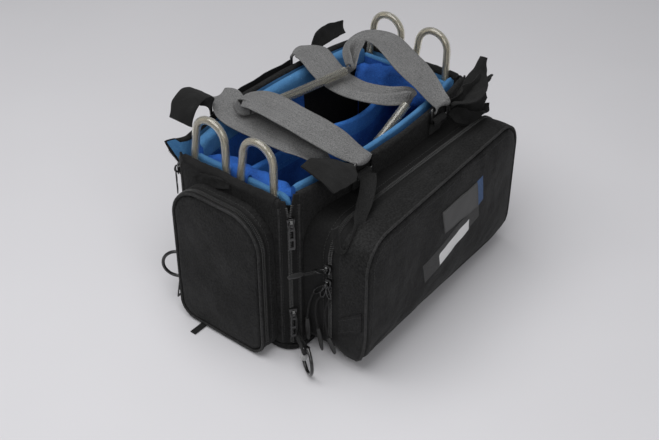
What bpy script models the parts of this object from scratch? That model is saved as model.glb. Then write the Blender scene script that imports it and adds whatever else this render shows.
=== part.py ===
"""An open-topped location sound bag: padded walls, ends that unzip and fold down, three zipped
pockets, sleeved wire loops at both ends and two webbing carry handles that lie across the opening.

Metres, +Z up. The origin is the middle of the base's underside. +X runs along the bag, -Y is the
side with the large pocket, and "near" is the -X end.
"""

import math

import bmesh
import bpy
from mathutils import Matrix, Vector

# Driving dimensions of the case
BODY_LENGTH = 0.376
BODY_WIDTH = 0.190
RIM_HEIGHT = 0.235
END_DROP = 0.009
CORNER_RADIUS = 0.028
RIM_BOW = 0.0165
BASE_THICKNESS = 0.010
BASE_EDGE = 0.003
WALL_THICKNESS = 0.009
TAPE_THICKNESS = 0.003
TAPE_WIDTH = 0.011
ZIP_GAP = 0.0008
SEAM_GAP = 0.0003

# Lining, divider and the metal strip under it
SLOT_WIDTH = 0.006
PAD_THICKNESS = 0.007
END_PAD_THICKNESS = 0.0075
END_PAD_INSET = 0.017
END_PAD_DROP = 0.014
PAD_EDGE = 0.004
ROLL_THICKNESS = 0.015
ROLL_HEIGHT = 0.030
DIVIDER_THICKNESS = 0.008
DIVIDER_DROP = 0.035
DIVIDER_PLACE = 0.020
DIVIDER_SAG = 0.024
DIVIDER_DIP = 0.067
DIVIDER_DIP_REACH = 0.070
FLOOR_BOARD = 0.002
STRIP_THICKNESS = 0.0018
STRIP_INSET = 0.029
STRIP_DROP = 0.075

# Sleeved wire loops
WIRE_RADIUS = 0.003
SLEEVE_RADIUS = 0.005
SLEEVE_BORE = 0.0038
LOOP_WIDTH = 0.045
LOOP_PITCH = 0.074
LOOP_RISE = 0.056
LOOP_FOOT = 0.020
SLEEVE_FOOT = 0.021
LOOP_PANEL_GAP = 0.0006

# Pockets
POCKET_WALL = 0.003
END_POCKET_INSET = 0.025
END_POCKET_FOOT = 0.003
END_POCKET_DROP = 0.021
END_POCKET_RADIUS = 0.045
END_POCKET_FOOT_RADIUS = 0.022
END_TRAY_DEPTH = 0.0187
END_LID_DEPTH = 0.009
END_LID_INSET = 0.006
END_LID_SHOULDER = 0.6
FRONT_POCKET_NEAR_INSET = 0.022
FRONT_POCKET_FAR_INSET = 0.004
FRONT_POCKET_FLARE = 0.012
FRONT_POCKET_FOOT = 0.009
FRONT_POCKET_DROP = 0.035
FRONT_POCKET_RADIUS = 0.042
FRONT_POCKET_FOOT_RADIUS = 0.020
FRONT_ZIP_DEPTH = 0.040
FRONT_FACE_DEPTH = 0.075
FACE_CROWN = 0.006
FACE_CROWN_INSET = 0.012
FACE_BULGE = 0.022
FACE_BULGE_FAR = 0.2
FACE_BULGE_RISE = 0.060
FACE_INSETS = (0.022, 0.045, 0.066)
TONGUE_LAP = 0.004

# Rings and webbing
RING_X = 0.078
RING_WIRE = 0.004
RING_WIDTH = 0.034
RING_TALL = 0.020
RING_CORNER = 0.004
RING_STANDOFF = 0.0055
RING_RISE = 0.008
ANCHOR_WIDTH = 0.025
ANCHOR_LENGTH = 0.020
ANCHOR_SEWN_SHARE = 0.4
WEBBING_THICKNESS = 0.002
HANDLE_WIDTH = 0.047
RING_END_WIDTH = 0.025
HANDLE_CORE = 0.0062
CORE_OVERHANG = 0.06
GRIP_RADIUS = 0.006
GRIP_BORE = 0.0046
TAB_WIDTH = 0.044
TAB_THICKNESS = 0.0025
TAB_LEAN = 0.0014
D_RING_WIRE = 0.0045
D_RING_TALL = 0.040
D_RING_REACH = 0.028
D_RING_BEND = 0.006
D_RING_ANGLE = 57
D_STRAP_WIDTH = 0.014
D_STRAP_THICKNESS = 0.005
D_STRAP_ROOT = 0.0022
D_EYE_WALL = 0.0018
D_STAND = 0.0075
D_HEIGHT = 0.045
D_LOW_STAND = 0.034
D_LOW_HEIGHT = 0.0262
D_LOW_SEAM = 0.0185
D_LOW_DROOP = 24

# Zip sliders and pulls
SLIDER_WIDTH = 0.008
SLIDER_TALL = 0.011
SLIDER_THICKNESS = 0.0028
EAR_GAP = 0.0036
EAR_THICKNESS = 0.0012
EAR_RIM = 0.0004
PIN_RADIUS = 0.0009
PULL_WIDTH = 0.006
PULL_LENGTH = 0.036
PULL_THICKNESS = 0.0016
CORD_PULL_LENGTH = 0.070
CORD_THICKNESS = 0.0024
CORD_GRIP_WIDTH = 0.0062
CORD_GRIP_LENGTH = 0.024
EYE_RADIUS = 0.0027
EYE_BORE = 0.0014
EYE_WIDTH = 0.0028
FIT_CLEARANCE = 0.0004
CORNER_SLIDER_DROP = 0.037
LOW_SLIDER_HEIGHT = 0.064
POCKET_SLIDER_HEIGHT = 0.050
FRONT_SLIDER_DROP = 0.054
FRONT_PULL_LIFT = 115

half_length = BODY_LENGTH / 2
half_width = BODY_WIDTH / 2
straight = half_length - CORNER_RADIUS
flat = half_width - CORNER_RADIUS
wall_foot = BASE_THICKNESS + SEAM_GAP
end_height = RIM_HEIGHT - END_DROP
lining_foot = wall_foot + STRIP_THICKNESS + SEAM_GAP
UP = Vector((0, 0, 1))

for item in list(bpy.data.objects):
    bpy.data.objects.remove(item, do_unlink=True)


def finish(name, colour, roughness, metallic=0.0):
    """A plain Principled material."""
    material = bpy.data.materials.new(name)
    material.use_nodes = True
    shader = material.node_tree.nodes["Principled BSDF"]
    shader.inputs["Base Color"].default_value = (*colour, 1)
    shader.inputs["Roughness"].default_value = roughness
    shader.inputs["Metallic"].default_value = metallic
    return material


black_nylon = finish("black_nylon", (0.012, 0.012, 0.013), 0.75)
black_hook_tape = finish("black_hook_tape", (0.008, 0.008, 0.008), 0.95)
blue_velvet = finish("blue_velvet", (0.02, 0.08, 0.42), 0.9)
grey_webbing = finish("grey_webbing", (0.22, 0.22, 0.22), 0.85)
clear_tube = finish("clear_tube", (0.62, 0.58, 0.42), 0.25)
steel_wire = finish("steel_wire", (0.45, 0.45, 0.43), 0.3, 1.0)
aluminium_strip = finish("aluminium_strip", (0.6, 0.6, 0.6), 0.4, 1.0)
dark_metal = finish("dark_metal", (0.05, 0.05, 0.05), 0.4, 0.9)

bag = bpy.data.objects.new("sound_bag", None)
bpy.context.scene.collection.objects.link(bag)


# Building closed bodies from rings of points

def add_object(name, mesh, material, origin=(0, 0, 0), parent=bag):
    """Adds a mesh made in the bag's frame as an object whose origin is on its joint."""
    mesh.transform(Matrix.Translation(-Vector(origin)))
    mesh.materials.append(material)
    thing = bpy.data.objects.new(name, mesh)
    thing.location = origin
    bpy.context.scene.collection.objects.link(thing)
    attach(thing, parent)
    return thing


def attach(thing, parent):
    """Parents an object without moving it."""
    bpy.context.view_layer.update()
    thing.parent = parent
    thing.matrix_parent_inverse = parent.matrix_world.inverted()


def loft(name, rings, closed=False):
    """A mesh through rings of equal length, capped at its two ends unless it closes on itself."""
    shape = bmesh.new()
    loops = [[shape.verts.new(point) for point in ring] for ring in rings]
    following = loops[1:] + loops[:1] if closed else loops[1:]
    for ring, after in zip(loops, following):
        for i in range(len(ring)):
            j = (i + 1) % len(ring)
            shape.faces.new((ring[i], ring[j], after[j], after[i]))
    if not closed:
        shape.faces.new(loops[0])
        shape.faces.new(loops[-1])
    bmesh.ops.recalc_face_normals(shape, faces=shape.faces)
    mesh = bpy.data.meshes.new(name)
    shape.to_mesh(mesh)
    shape.free()
    return mesh


def tangents(points, closed=False):
    """The direction of a path at each of its points."""
    last = len(points) - 1
    found = []
    for i in range(len(points)):
        before = points[i - 1] if closed or i else points[i]
        after = points[(i + 1) % len(points)] if closed or i < last else points[i]
        found.append((after - before).normalized())
    return found


def circles(points, radius, sides, normal, closed=False):
    """Rings of a round bar along a path that lies in the plane with this normal."""
    rings = []
    for point, along in zip(points, tangents(points, closed)):
        across = along.cross(normal).normalized()
        angles = [2 * math.pi * (i + 0.5) / sides for i in range(sides)]
        rings.append([point + radius * (math.cos(a) * across + math.sin(a) * normal) for a in angles])
    return rings


def hollow(name, points, radius, bore, sides, normal):
    """A tube with an open bore along a path."""
    outer = circles(points, radius, sides, normal)
    inner = circles(points, bore, sides, normal)
    return loft(name, outer + inner[::-1], closed=True)


def smooth_route(rows, steps):
    """Catmull-Rom samples through rows of numbers."""
    padded = [rows[0]] + rows + [rows[-1]]
    samples = []
    for a, b, c, d in zip(padded, padded[1:], padded[2:], padded[3:]):
        for step in range(steps):
            t = step / steps
            samples.append([
                0.5 * (2 * q + (r - p) * t + (2 * p - 5 * q + 4 * r - s) * t**2
                       + (3 * q - p - 3 * r + s) * t**3)
                for p, q, r, s in zip(a, b, c, d)
            ])
    return samples + [rows[-1]]


def ribbon(name, samples):
    """A flat band: each sample is x, y, z, the x, y, z of its width's direction, width, thickness."""
    points = [Vector(row[:3]) for row in samples]
    rings = []
    for row, point, along in zip(samples, points, tangents(points)):
        across = Vector(row[3:6])
        across = (across - across.dot(along) * along).normalized()
        through = along.cross(across)
        wide = row[6] / 2
        thick = row[7] / 2
        edge = 0.4 * thick
        corners = [(wide, edge), (wide - edge, thick), (edge - wide, thick), (-wide, edge)]
        corners += [(-u, -v) for u, v in corners]
        rings.append([point + u * across + v * through for u, v in corners])
    return loft(name, rings)


def arc(centre, radius, start, stop, steps):
    """Points (u, v) on an arc, with angles in degrees."""
    angles = [math.radians(start + (stop - start) * i / steps) for i in range(steps + 1)]
    return [(centre[0] + radius * math.cos(a), centre[1] + radius * math.sin(a)) for a in angles]


def arch_outline(left, right, foot, top, radius, foot_radius, inset=0.0, foot_inset=None, steps=2):
    """An upright outline with large rounded top corners and small ones below, anticlockwise."""
    left += inset
    right -= inset
    top -= inset
    foot += inset if foot_inset is None else foot_inset
    big = max(radius - inset, 0.002)
    small = max(foot_radius - inset, 0.0015)
    return (
        arc((left + small, foot + small), small, 180, 270, 5)
        + [(left + small + (right - left - 2 * small) * i / steps, foot) for i in range(1, steps)]
        + arc((right - small, foot + small), small, 270, 360, 5)
        + arc((right - big, top - big), big, 0, 90, 6)
        + [(right - big - (right - left - 2 * big) * i / steps, top) for i in range(1, steps)]
        + arc((left + big, top - big), big, 90, 180, 6)
    )


def apply_boolean(thing, other, operation):
    """Joins or cuts a body with a helper, and leaves the result as the body's own mesh."""
    change = thing.modifiers.new(operation.lower(), "BOOLEAN")
    change.operation = operation
    change.object = other
    bpy.context.view_layer.update()
    graph = bpy.context.evaluated_depsgraph_get()
    result = bpy.data.meshes.new_from_object(thing.evaluated_get(graph))
    thing.modifiers.remove(change)
    thing.data = result
    bpy.data.objects.remove(other, do_unlink=True)


def helper(name, mesh, matrix=Matrix.Identity(4)):
    """A hidden body used to cut or join."""
    thing = bpy.data.objects.new(name, mesh)
    thing.matrix_world = matrix
    thing.hide_render = True
    thing.display_type = "WIRE"
    bpy.context.scene.collection.objects.link(thing)
    return thing


def block(name, low, high):
    """A box between two corners."""
    base = [(low[0], low[1]), (high[0], low[1]), (high[0], high[1]), (low[0], high[1])]
    return loft(name, [[(x, y, z) for x, y in base] for z in (low[2], high[2])])


# The case: base, long walls and ends

def rim_bow(x, z):
    """How far the long walls belly out at this place along the bag and height."""
    return RIM_BOW * max(0.0, 1 - (x / straight) ** 2) * z / RIM_HEIGHT


def wall_y(x, z):
    """Distance of the long walls' outer face from the middle of the bag."""
    return half_width + rim_bow(x, z)


def make_base():
    """A stiffened base with rounded corners and a softened lower edge."""
    def outline(inset):
        radius = CORNER_RADIUS - inset
        centres = ((straight, flat, 0), (-straight, flat, 90))
        centres += ((-straight, -flat, 180), (straight, -flat, 270))
        points = []
        for x, y, turn in centres:
            points += arc((x, y), radius, turn, turn + 90, 6)
        return points

    levels = ((0.0, BASE_EDGE), (BASE_EDGE, 0.0), (BASE_THICKNESS, 0.0))
    rings = [[(x, y, z) for x, y in outline(inset)] for z, inset in levels]
    add_object("base_panel", loft("base_panel", rings), black_nylon)


def corner_angles():
    """Angles in degrees from a corner's zip, at 45, round to the wall."""
    start = 45 + math.degrees(ZIP_GAP / 2 / CORNER_RADIUS)
    tape = 45 + math.degrees(TAPE_WIDTH / CORNER_RADIUS)
    return (start, tape, tape + 4, 82, 90)


def shell(stations, levels):
    """Rings of a wall: each station is x, y, outward x, outward y, thickness; levels are heights."""
    rings = []
    for x, y, out_x, out_y, thick in stations:
        outer = [(x + out_x * rim_bow(x, z) * abs(out_y), y + out_y * rim_bow(x, z), z) for z in levels]
        inner = [(u - thick * out_x, v - thick * out_y, z) for u, v, z in outer]
        rings.append(outer + inner[::-1])
    return rings


def make_long_wall(name, side):
    """A padded long wall that turns both corners as far as the zips."""
    def turn(end, angles):
        rows = []
        for angle in angles:
            out_x = end * math.cos(math.radians(angle))
            out_y = side * math.sin(math.radians(angle))
            thick = TAPE_THICKNESS if angle <= corner_angles()[1] else WALL_THICKNESS
            centre_y = side * flat
            rows.append((end * straight + CORNER_RADIUS * out_x, centre_y + CORNER_RADIUS * out_y,
                         out_x, out_y, thick))
        return rows

    middle = [(straight * share, side * half_width, 0, side, WALL_THICKNESS)
              for share in (-0.8, -0.6, -0.4, -0.2, 0, 0.2, 0.4, 0.6, 0.8)]
    stations = turn(-1, corner_angles()) + middle + turn(1, corner_angles()[::-1])
    levels = (wall_foot, RIM_HEIGHT * 0.4, RIM_HEIGHT * 0.75, RIM_HEIGHT)
    return add_object(name, loft(name, shell(stations, levels)), black_nylon)


def make_end_panel(name, end):
    """A padded end that folds down about its lower edge once its two corner zips are open."""
    angles = [90 - angle for angle in corner_angles()]

    def turn(side, found):
        rows = []
        for angle in found:
            out_x = end * math.cos(math.radians(angle))
            out_y = side * math.sin(math.radians(angle))
            thick = TAPE_THICKNESS if angle >= angles[1] else WALL_THICKNESS
            rows.append((end * straight + CORNER_RADIUS * out_x, side * flat + CORNER_RADIUS * out_y,
                         out_x, out_y, thick))
        return rows

    stations = turn(-1, angles) + turn(1, angles[::-1])
    rings = []
    for x, y, out_x, out_y, thick in stations:
        outer = [(x, y, wall_foot), (x, y, end_height)]
        inner = [(x - thick * out_x, y - thick * out_y, z) for z in (end_height, wall_foot)]
        rings.append(outer + inner)
    origin = (end * half_length, 0, END_POCKET_FOOT)
    return add_object(name, loft(name, rings), black_nylon, origin)


make_base()
front_wall = make_long_wall("front_wall", -1)
back_wall = make_long_wall("back_wall", 1)
near_end_panel = make_end_panel("near_end_panel", -1)
far_end_panel = make_end_panel("far_end_panel", 1)


# Lining pads, divider and strip

def make_side_pad(name, side, roll):
    """A lining pad that stands inside a long wall behind a narrow slot, with a roll along its top."""
    length = straight - SEAM_GAP
    rings = []
    for share in (-1, -0.75, -0.5, -0.25, 0, 0.25, 0.5, 0.75, 1):
        x = share * length
        neck = RIM_HEIGHT - ROLL_HEIGHT
        edge = PAD_EDGE * 0.75

        def depth(z):
            return wall_y(x, z) - WALL_THICKNESS - SLOT_WIDTH

        profile = [(depth(z), z) for z in (lining_foot, RIM_HEIGHT * 0.5, RIM_HEIGHT - edge)]
        top = depth(RIM_HEIGHT)
        profile += [(top - edge, RIM_HEIGHT), (top - roll + edge, RIM_HEIGHT)]
        profile += [(top - roll, RIM_HEIGHT - edge)]
        profile += [(depth(neck) - roll, neck + edge), (depth(neck) - PAD_THICKNESS, neck),
                    (depth(lining_foot) - PAD_THICKNESS, lining_foot)]
        rings.append([(x, side * y, z) for y, z in profile])
    add_object(name, loft(name, rings), blue_velvet)


loop_x = half_length - WALL_THICKNESS - LOOP_PANEL_GAP - SLEEVE_RADIUS
strip_x = loop_x - WIRE_RADIUS - SEAM_GAP
pad_x = loop_x - SLEEVE_RADIUS - SEAM_GAP


def make_end_pad(name, end):
    """A velvet pad across an end, inside the wire loops, with a rounded top edge."""
    outer = end * pad_x
    inner = end * (pad_x - END_PAD_THICKNESS)
    middle = (outer + inner) / 2
    top = RIM_HEIGHT - END_PAD_DROP
    wide = half_width - END_PAD_INSET
    profile = [(outer, lining_foot), (outer, top - PAD_EDGE), (middle, top), (inner, top - PAD_EDGE),
               (inner, lining_foot)]
    rings = [[(x, y, z) for x, z in profile] for y in (-wide, 0, wide)]
    add_object(name, loft(name, rings), blue_velvet)


def divider_y(x):
    """Place across the bag of the divider's middle, which dips towards the front."""
    return DIVIDER_PLACE - DIVIDER_SAG * math.exp(-((x - DIVIDER_DIP) / DIVIDER_DIP_REACH) ** 2)


def make_divider():
    """A soft lengthwise divider that curves towards the front beyond its middle."""
    reach = pad_x - END_PAD_THICKNESS - SEAM_GAP
    half = DIVIDER_THICKNESS / 2
    top = RIM_HEIGHT - DIVIDER_DROP
    rings = []
    for share in (-1, -0.8, -0.6, -0.4, -0.2, 0, 0.2, 0.4, 0.6, 0.8, 1):
        middle = divider_y(share * reach)
        profile = [(middle - half, lining_foot), (middle - half, top - half), (middle, top),
                   (middle + half, top - half), (middle + half, lining_foot)]
        rings.append([(share * reach, y, z) for y, z in profile])
    add_object("curved_divider", loft("curved_divider", rings), blue_velvet)


def make_strip():
    """A bent metal strip under the lining that keeps the bag open and backs the wire loops."""
    low = wall_foot
    high = RIM_HEIGHT - STRIP_DROP
    thick = STRIP_THICKNESS
    wide = half_width - STRIP_INSET
    profile = [(-strip_x, low), (strip_x, low), (strip_x, high), (strip_x - thick, high),
               (strip_x - thick, low + thick), (thick - strip_x, low + thick), (thick - strip_x, high),
               (-strip_x, high)]
    rings = [[(x, y, z) for x, z in profile] for y in (-wide, wide)]
    add_object("frame_strip", loft("frame_strip", rings), aluminium_strip)


def make_floor_board():
    """A thin stiff board on the floor in front of the divider, for the recorder to stand on."""
    wide = pad_x - END_PAD_THICKNESS - FIT_CLEARANCE
    front = FIT_CLEARANCE + WALL_THICKNESS + SLOT_WIDTH + PAD_THICKNESS - half_width
    back = DIVIDER_PLACE - DIVIDER_SAG - DIVIDER_THICKNESS / 2 - FIT_CLEARANCE
    board = block("floor_board", (-wide, front, lining_foot), (wide, back, lining_foot + FLOOR_BOARD))
    add_object("floor_board", board, black_nylon)


make_side_pad("front_inner_pad", -1, PAD_THICKNESS)
make_side_pad("back_inner_pad", 1, ROLL_THICKNESS)
make_end_pad("near_end_pad", -1)
make_end_pad("far_end_pad", 1)
make_divider()
make_strip()
make_floor_board()


# Sleeved wire loops

loop_radius = LOOP_WIDTH / 2
loop_spring = end_height + LOOP_RISE - loop_radius
link_radius = (LOOP_PITCH - LOOP_WIDTH) / 2


def make_loops(end_name, end):
    """One bent wire that stands behind the end pad and rises in two loops, each with a clear sleeve."""
    across = Vector((1, 0, 0))

    def at(y, z):
        return Vector((end * loop_x, y, z))

    def crown(middle):
        return [at(*point) for point in arc((middle, loop_spring), loop_radius, 180, 0, 8)]

    link_height = wall_foot + LOOP_FOOT + link_radius
    first = -LOOP_PITCH / 2
    second = LOOP_PITCH / 2
    outer_foot = wall_foot + LOOP_FOOT
    link = [at(*point) for point in arc((0, link_height), link_radius, 180, 360, 6)]
    wire = ([at(first - loop_radius, outer_foot)] + crown(first) + link + crown(second)
            + [at(second + loop_radius, outer_foot)])
    name = f"{end_name}_loop_wire"
    bar = loft(name, circles(wire, WIRE_RADIUS, 6, across))
    add_object(name, bar, steel_wire)
    for place, middle in (("front", first), ("back", second)):
        name = f"{end_name}_{place}_loop_sleeve"
        foot = end_height - SLEEVE_FOOT
        path = [at(middle - loop_radius, foot)] + crown(middle) + [at(middle + loop_radius, foot)]
        add_object(name, hollow(name, path, SLEEVE_RADIUS, SLEEVE_BORE, 8, across), clear_tube)


make_loops("near", -1)
make_loops("far", 1)


# End pockets

end_pocket_half = half_width - END_POCKET_INSET
end_pocket_top = end_height - END_POCKET_DROP
tray_back = half_length + SEAM_GAP
tray_front = tray_back + END_TRAY_DEPTH
lid_back = tray_front + SEAM_GAP


def end_outline(inset=0.0):
    """The end pocket's outline, as (y, z)."""
    return arch_outline(-end_pocket_half, end_pocket_half, END_POCKET_FOOT, end_pocket_top,
                        END_POCKET_RADIUS, END_POCKET_FOOT_RADIUS, inset)


def make_end_pocket(end_name, end, panel):
    """A gusset sewn to the end panel, and a padded lid that folds down about its lower edge."""
    rings = []
    for outer, inner in zip(end_outline(), end_outline(POCKET_WALL)):
        rings.append([(end * tray_back, *outer), (end * tray_front, *outer),
                      (end * tray_front, *inner), (end * tray_back, *inner)])
    name = f"{end_name}_pocket_tray"
    tray = add_object(name, loft(name, rings, closed=True), black_nylon, parent=panel)
    levels = ((0.0, 0.0), (END_LID_SHOULDER, 0.0), (1.0, END_LID_INSET))
    rings = [[(end * (lid_back + share * END_LID_DEPTH), *point) for point in end_outline(inset)]
             for share, inset in levels]
    name = f"{end_name}_pocket_lid"
    add_object(name, loft(name, rings), black_nylon, (end * lid_back, 0, END_POCKET_FOOT), tray)
    return tray


near_tray = make_end_pocket("near", -1, near_end_panel)
far_tray = make_end_pocket("far", 1, far_end_panel)


# Front pocket

front_left = FRONT_POCKET_NEAR_INSET - half_length
front_right = half_length - FRONT_POCKET_FAR_INSET
front_top = RIM_HEIGHT - FRONT_POCKET_DROP
zip_y = -half_width - FRONT_ZIP_DEPTH
face_y = -half_width - FRONT_FACE_DEPTH
front_hinge_y = face_y + FACE_CROWN + POCKET_WALL


def front_outline(inset=0.0, foot_inset=None, flare=0.0):
    """The front pocket's outline, as (x, z). The far end flares out from the wall to the zip."""
    return arch_outline(front_left, front_right - flare, FRONT_POCKET_FOOT, front_top,
                        FRONT_POCKET_RADIUS, FRONT_POCKET_FOOT_RADIUS, inset, foot_inset, 8)


def face_bulge(x, z):
    """How far the stuffed pocket's face stands out: most at the near end, and nothing at its foot."""
    share = (x - front_left) / (front_right - front_left)
    rise = min(max(z - FRONT_POCKET_FOOT, 0.0) / FACE_BULGE_RISE, 1.0)
    return FACE_BULGE * (1 - (1 - FACE_BULGE_FAR) * share) * (1 - (1 - rise) ** 2)


def make_front_pocket():
    """A gusset and floor on the front wall, and a deep lid that folds forward about its lower edge."""
    rings = []
    sewn = [front_outline(inset, flare=FRONT_POCKET_FLARE) for inset in (0.0, POCKET_WALL)]
    zipped = [front_outline(inset) for inset in (0.0, POCKET_WALL)]
    for outer, inner, edge, lip in zip(*sewn, *zipped):
        back = [(x, -wall_y(x, z) - SEAM_GAP, z) for x, z in (outer, inner)]
        rings.append([back[0], (edge[0], zip_y, edge[1]), (lip[0], zip_y, lip[1]), back[1]])
    tray = add_object("front_pocket_tray", loft("front_pocket_tray", rings, closed=True), black_nylon)
    side = POCKET_WALL + FIT_CLEARANCE + FRONT_POCKET_FOOT_RADIUS
    floor_top = FRONT_POCKET_FOOT + POCKET_WALL
    tongue = block("tongue", (front_left + side, front_hinge_y + SEAM_GAP, FRONT_POCKET_FOOT),
                   (front_right - side, zip_y + TONGUE_LAP, floor_top))
    apply_boolean(tray, helper("tongue", tongue), "UNION")

    back = zip_y - SEAM_GAP

    def lid_ring(y, inset, foot_inset, bulging):
        return [(x, y - bulging * face_bulge(x, z), z) for x, z in front_outline(inset, foot_inset)]

    inner = [inset + POCKET_WALL for inset in reversed(FACE_INSETS)] + [POCKET_WALL]
    rings = [lid_ring(front_hinge_y, inset, inset, 1) for inset in inner]
    rings += [lid_ring(back, POCKET_WALL, POCKET_WALL, 0)]
    rings += [lid_ring(back, 0.0, 0.0, 0)]
    rings += [lid_ring(face_y + FACE_CROWN, 0.0, 0.0, 1)]
    rings += [lid_ring(face_y + FACE_CROWN / 3, FACE_CROWN_INSET / 3, 0.0, 1)]
    rings += [lid_ring(face_y, FACE_CROWN_INSET, 0.0, 1)]
    rings += [lid_ring(face_y, FACE_CROWN_INSET + inset, inset, 1) for inset in FACE_INSETS]
    origin = (0, front_hinge_y, FRONT_POCKET_FOOT)
    lid = add_object("front_pocket_lid", loft("front_pocket_lid", rings), black_nylon, origin)
    side -= FIT_CLEARANCE
    mouth = block("mouth", (front_left + side, front_hinge_y, FRONT_POCKET_FOOT - POCKET_WALL),
                  (front_right - side, zip_y, floor_top + POCKET_WALL))
    apply_boolean(lid, helper("mouth", mouth), "DIFFERENCE")
    return tray


front_tray = make_front_pocket()


# Strap rings, their anchors and the carry handles

ring_top = RIM_HEIGHT + RING_RISE
ring_foot = ring_top - RING_TALL
bar_radius = RING_WIRE / 2
eye_radius = bar_radius + SEAM_GAP + WEBBING_THICKNESS / 2


def ring_y(side):
    """Place across the bag of the strap rings on one long wall."""
    return side * (wall_y(RING_X, ring_top) + RING_STANDOFF)


def make_strap_ring(name, end, side):
    """A rectangular wire ring that stands just outside the rim."""
    middle = end * RING_X
    corner = RING_CORNER
    wide = RING_WIDTH / 2 - corner
    high = ring_top - corner
    low = ring_foot + corner
    outline = arc((middle + wide, high), corner, 0, 90, 2) + arc((middle - wide, high), corner, 90, 180, 2)
    outline += arc((middle - wide, low), corner, 180, 270, 2) + arc((middle + wide, low), corner, 270, 360, 2)
    points = [Vector((x, ring_y(side), z)) for x, z in outline]
    rings = circles(points, bar_radius, 6, Vector((0, 1, 0)), closed=True)
    add_object(name, loft(name, rings, closed=True), dark_metal)


def make_anchor(name, end, side):
    """A webbing tail sewn down the wall that turns round the ring's lower bar."""
    x = end * RING_X
    bar = ring_y(side)
    foot = ring_foot - ANCHOR_LENGTH
    sewn = foot + ANCHOR_LENGTH * ANCHOR_SEWN_SHARE
    wall = side * (wall_y(RING_X - ANCHOR_WIDTH / 2, sewn) + SEAM_GAP + WEBBING_THICKNESS / 2)
    turns = arc((bar, ring_foot), eye_radius, 180, -70, 8) if side > 0 else arc(
        (bar, ring_foot), eye_radius, 0, 250, 8)
    path = [(wall, foot), (wall, sewn)] + turns
    samples = [[x, y, z, 1, 0, 0, ANCHOR_WIDTH, WEBBING_THICKNESS] for y, z in path]
    add_object(name, ribbon(name, samples), black_nylon)


def ring_eye(end, side):
    """A handle's turn round the upper bar of a ring, ending on top of it."""
    turns = arc((ring_y(side), ring_top), eye_radius, -60, 90, 5) if side > 0 else arc(
        (ring_y(side), ring_top), eye_radius, 240, 90, 5)
    return [[end * RING_X, y, z, 1, 0, 0, RING_END_WIDTH, WEBBING_THICKNESS] for y, z in turns]


def leg(rows):
    """A strap's hand-laid route: rows of x, y, rise above the rim, direction of the width, width."""
    stations = []
    for x, y, rise, across, width in rows:
        stations.append([x, y, RIM_HEIGHT + rise, *across, width, WEBBING_THICKNESS])
    return stations


def make_handle(name, side, near_leg, far_leg, grip):
    """One webbing from ring to ring, gathered through a clear tube that forms the hand grip."""
    start, stop = [Vector((x, y, RIM_HEIGHT + rise)) for x, y, rise in grip]
    along = (stop - start).normalized()
    flat_across = along.cross(UP).normalized()
    core = []
    for share in (-CORE_OVERHANG, 0.0, 0.5, 1.0, 1 + CORE_OVERHANG):
        point = start.lerp(stop, share)
        core.append([*point, *flat_across, HANDLE_CORE, HANDLE_CORE])
    rows = ring_eye(-1, side) + smooth_route(leg(near_leg), 3) + core
    rows += smooth_route(leg(far_leg)[::-1], 3) + ring_eye(1, side)[::-1]
    origin = (0, ring_y(side), ring_top)
    webbing = f"{name}_webbing"
    add_object(webbing, ribbon(webbing, rows), grey_webbing, origin)
    tube = f"{name}_grip"
    sleeve = hollow(tube, [start, stop], GRIP_RADIUS, GRIP_BORE, 10, along.cross(flat_across))
    add_object(tube, sleeve, clear_tube, origin)


def make_tab(name, rows):
    """A hook-and-loop strap end: rows as for a handle leg."""
    samples = [row[:7] + [TAB_THICKNESS] for row in smooth_route(leg(rows), 3)]
    add_object(name, ribbon(name, samples), black_hook_tape)


ALONG = (1, 0, 0)
front_bar = ring_y(-1)
back_bar = ring_y(1)
front_grip = ((-0.080, 0.042, 0.021), (0.054, 0.017, 0.021))
back_grip = ((-0.058, front_bar + 0.0375, -0.046), (0.060, front_bar + 0.0375, 0.003))

make_handle(
    "front_handle", -1,
    [(-0.080, front_bar + 0.014, 0.0165, ALONG, 0.036),
     (-0.088, front_bar + 0.040, 0.026, ALONG, HANDLE_WIDTH),
     (-0.088, -0.020, 0.033, ALONG, HANDLE_WIDTH),
     (-0.084, 0.035, 0.034, ALONG, HANDLE_WIDTH),
     (-0.086, 0.060, 0.029, ALONG, 0.040),
     (-0.096, 0.063, 0.024, (0.9, 0.4, 0), 0.020),
     (-0.099, 0.052, 0.021, (0.3, 0.9, 0), 0.010)],
    [(0.083, front_bar + 0.014, 0.0165, ALONG, 0.036),
     (0.096, front_bar + 0.044, 0.026, (1, 0.2, 0), HANDLE_WIDTH),
     (0.114, -0.026, 0.034, (1, 0.3, 0), HANDLE_WIDTH),
     (0.124, 0.006, 0.040, (1, 0.2, 0), 0.044),
     (0.116, 0.034, 0.040, (0.8, 0.6, 0), 0.036),
     (0.094, 0.036, 0.031, (0.2, 0.9, 0.3), 0.026),
     (0.074, 0.022, 0.023, (0, 0.9, 0.4), 0.012)],
    front_grip,
)
make_handle(
    "back_handle", 1,
    [(-0.079, back_bar - 0.016, 0.0125, ALONG, 0.030),
     (-0.098, back_bar - 0.044, 0.010, ALONG, HANDLE_WIDTH),
     (-0.100, 0.020, 0.007, ALONG, HANDLE_WIDTH),
     (-0.098, -0.030, 0.006, ALONG, HANDLE_WIDTH),
     (-0.094, front_bar + 0.0515, -0.004, ALONG, 0.034),
     (-0.080, front_bar + 0.0395, -0.030, (1, 0, 0.6), 0.016)],
    [(0.078, back_bar - 0.014, 0.0145, ALONG, 0.036),
     (0.066, back_bar - 0.038, 0.018, ALONG, HANDLE_WIDTH),
     (0.050, 0.034, 0.010, ALONG, HANDLE_WIDTH),
     (0.048, -0.004, 0.006, ALONG, 0.044),
     (0.058, front_bar + 0.0675, 0.007, (1, 0.2, 0), 0.034),
     (0.074, front_bar + 0.0435, 0.008, (0.8, 0.5, 0), 0.016)],
    back_grip,
)

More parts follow.
